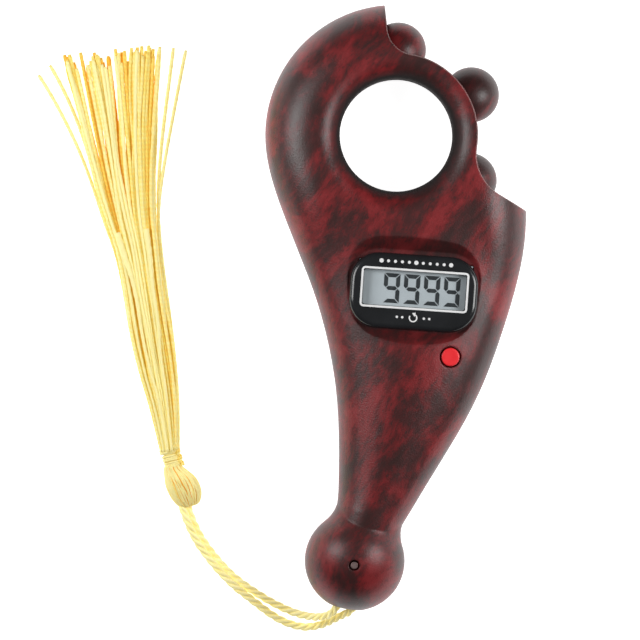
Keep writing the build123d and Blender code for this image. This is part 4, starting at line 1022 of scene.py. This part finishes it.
def rounded(centre, length, height, corner, steps=8):
    """Outline of a rectangle with round corners."""
    outline = []
    for turn, (sx, sy) in enumerate(((1, 1), (-1, 1), (-1, -1), (1, -1))):
        for i in range(steps + 1):
            angle = math.radians(90 * turn + 90 * i / steps)
            x = centre[0] + sx * (length / 2 - corner) + corner * math.cos(angle)
            y = centre[1] + sy * (height / 2 - corner) + corner * math.sin(angle)
            outline.append((x, y))
    return outline


def round_point(centre, radius, angle):
    return centre[0] + radius * math.cos(angle), centre[1] + radius * math.sin(angle)


def disc(x, y, radius, steps=24):
    return [round_point((x, y), radius, TURN * i / steps) for i in range(steps)]


def arc_band(centre, radius, width, start, end, steps=32):
    """Outline of a piece of a ring, between two angles in degrees."""
    angles = [math.radians(start + (end - start) * i / steps) for i in range(steps + 1)]
    outer = [round_point(centre, radius + width / 2, angle) for angle in angles]
    inner = [round_point(centre, radius - width / 2, angle) for angle in reversed(angles)]
    return outer + inner


def nine_outlines(left, low):
    """Outlines of the six lit segments of a nine, with slits between them."""
    w, h, t, e = DIGIT_WIDTH, DIGIT_HEIGHT, DIGIT_STROKE, DIGIT_SLIT
    m, half = h / 2, t / 2
    top = [(e, h), (t + e, h - t), (w - t - e, h - t), (w - e, h)]
    high_right = [
        (w, h - e), (w - t, h - t - e), (w - t, m + half + e), (w - half, m + e), (w, m + half + e),
    ]
    low_right = [(w, e), (w, m - half - e), (w - half, m - e), (w - t, m - half - e), (w - t, t + e)]
    bottom = [(e, 0), (w - e, 0), (w - t - e, t), (t + e, t)]
    high_left = [(0, h - e), (0, m + half + e), (half, m + e), (t, m + half + e), (t, h - t - e)]
    middle = [
        (half + e, m), (t + e, m - half), (w - t - e, m - half),
        (w - half - e, m), (w - t - e, m + half), (t + e, m + half),
    ]
    segments = (top, high_right, low_right, bottom, high_left, middle)
    return [[(left + x, low + y) for x, y in segment] for segment in segments]


def add_print(name, shape, material):
    """A printed piece on the casing, from its points and faces."""
    points, faces = shape
    mesh = bpy.data.meshes.new(name)
    mesh.from_pydata(points, [], faces)
    link(name, mesh, material, "casing")


bezel_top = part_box("display_bezel")[1].z
panel_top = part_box("lcd_panel")[1].z
white_ink = moulded(
    "white_ink",
    dark=(0.78, 0.78, 0.78),
    light=(0.86, 0.86, 0.86),
    patch=1.5,
    gloss=(0.35, 0.5),
    relief=0.005 * MM,
)
segment_ink = moulded(
    "segment_ink",
    dark=(0.022, 0.027, 0.031),
    light=(0.036, 0.042, 0.047),
    patch=0.8,
    gloss=(0.4, 0.5),
    relief=0.003 * MM,
)

line_inner = rounded(
    DISPLAY, LINE_LENGTH - 2 * LINE_WIDTH, LINE_HEIGHT - 2 * LINE_WIDTH, LINE_CORNER - LINE_WIDTH
)
line_outer = rounded(DISPLAY, LINE_LENGTH, LINE_HEIGHT, LINE_CORNER)
add_print("display_line", band(line_inner, line_outer, bezel_top), white_ink)

dots = []
for k in range(-DOTS_ASIDE, DOTS_ASIDE + 1):
    radius = LARGE_DOT_RADIUS if k % DOTS_ASIDE == 0 else DOT_RADIUS
    dots.append(disc(DISPLAY.x + k * DOT_PITCH, DISPLAY.y + DOT_RISE, radius))
add_print("display_dots", plate(dots, bezel_top), white_ink)

arrow = (DISPLAY.x + ARROW_SHIFT, DISPLAY.y - ARROW_DROP)
arc_end = round_point(arrow, ARROW_RADIUS, math.radians(ARROW_END))
marks = [arc_band(arrow, ARROW_RADIUS, ARROW_WIDTH, ARROW_START, ARROW_END)]
marks.append([(arc_end[0] + x * MM, arc_end[1] + y * MM) for x, y in ARROW_HEAD])
for k in ARROW_DOTS:
    marks.append(disc(arrow[0] + k * ARROW_DOT_PITCH, arrow[1], ARROW_DOT_RADIUS))
add_print("display_reset_mark", plate(marks, bezel_top), white_ink)

digits = []
for k in range(DIGIT_COUNT):
    left = DISPLAY.x + DIGITS_RIGHT - DIGIT_WIDTH - (DIGIT_COUNT - 1 - k) * DIGIT_PITCH
    digits += nine_outlines(left, DISPLAY.y - DIGIT_HEIGHT / 2)
add_print("lcd_segments", plate(digits, panel_top + DIGIT_LIFT), segment_ink)


# Finishes of the rigid pieces

FINISHES = {
    "front_shell": rosewood("rosewood_front", CASING_SHIFT, shell=True),
    "rear_shell": rosewood("rosewood_rear", CASING_SHIFT, shell=True),
    "battery_cover": rosewood("rosewood_cover", COVER_SHIFT),
    "bead_wheel_front": rosewood("rosewood_bead", BEAD_SHIFT, shade=BEAD_SHADE),
    "display_bezel": moulded(
        "bezel_black",
        dark=(0.011, 0.012, 0.013),
        light=(0.017, 0.018, 0.020),
        patch=6.0,
        gloss=(0.14, 0.20),
        relief=0.002 * MM,
    ),
    "display_pane": clear("pane_clear", tint=(0.97, 0.98, 0.98), gloss=(0.02, 0.05)),
    "lcd_panel": panel_glass(),
    "contact_strips": moulded(
        "strip_rubber",
        dark=(0.50, 0.18, 0.20),
        light=(0.58, 0.24, 0.25),
        patch=1.2,
        gloss=(0.6, 0.75),
        relief=0.02 * MM,
    ),
    "circuit_board": board_mask(),
    "chip_blob": moulded(
        "resin_black",
        dark=(0.006, 0.006, 0.006),
        light=(0.014, 0.013, 0.012),
        patch=1.6,
        gloss=(0.12, 0.3),
        relief=0.02 * MM,
    ),
    "reed_switch": clear("reed_glass", tint=(0.80, 0.92, 0.84), gloss=(0.02, 0.06)),
    "reset_button": moulded(
        "button_red",
        dark=(0.82, 0.020, 0.028),
        light=(0.88, 0.030, 0.036),
        patch=1.5,
        gloss=(0.34, 0.42),
        relief=0.004 * MM,
    ),
    "reset_switch": moulded(
        "switch_black",
        dark=(0.012, 0.012, 0.013),
        light=(0.02, 0.02, 0.02),
        patch=1.5,
        gloss=(0.35, 0.5),
        relief=0.01 * MM,
    ),
    "switch_plunger": moulded(
        "plunger_grey",
        dark=(0.16, 0.16, 0.16),
        light=(0.2, 0.2, 0.2),
        patch=1.5,
        gloss=(0.35, 0.5),
        relief=0.01 * MM,
    ),
    "cord_pin": brushed("pin_steel", (0.34, 0.24, 0.23), (0.52, 0.38, 0.37), gloss=(0.35, 0.5)),
    "button_cell": brushed("cell_steel", (0.52, 0.52, 0.50), (0.68, 0.68, 0.66), gloss=(0.2, 0.34)),
    "wheel_magnets": brushed("magnet_nickel", (0.50, 0.48, 0.44), (0.66, 0.64, 0.60), gloss=(0.12, 0.24)),
    "case_screws": brushed("screw_zinc", (0.42, 0.42, 0.43), (0.62, 0.62, 0.63), gloss=(0.25, 0.4)),
    "cell_spring": brushed("contact_nickel", (0.55, 0.53, 0.48), (0.70, 0.68, 0.63), gloss=(0.18, 0.3)),
}
SAME_FINISH = {
    "bead_wheel_rear": "bead_wheel_front",
    "cover_screw": "case_screws",
    "board_screws": "case_screws",
    "cell_clip": "cell_spring",
}
# The nodes left out here are the cord and the tassel, which threads replace
for name, node in nodes.items():
    material = FINISHES.get(SAME_FINISH.get(name, name))
    if material is not None:
        node.data.materials.clear()
        node.data.materials.append(material)
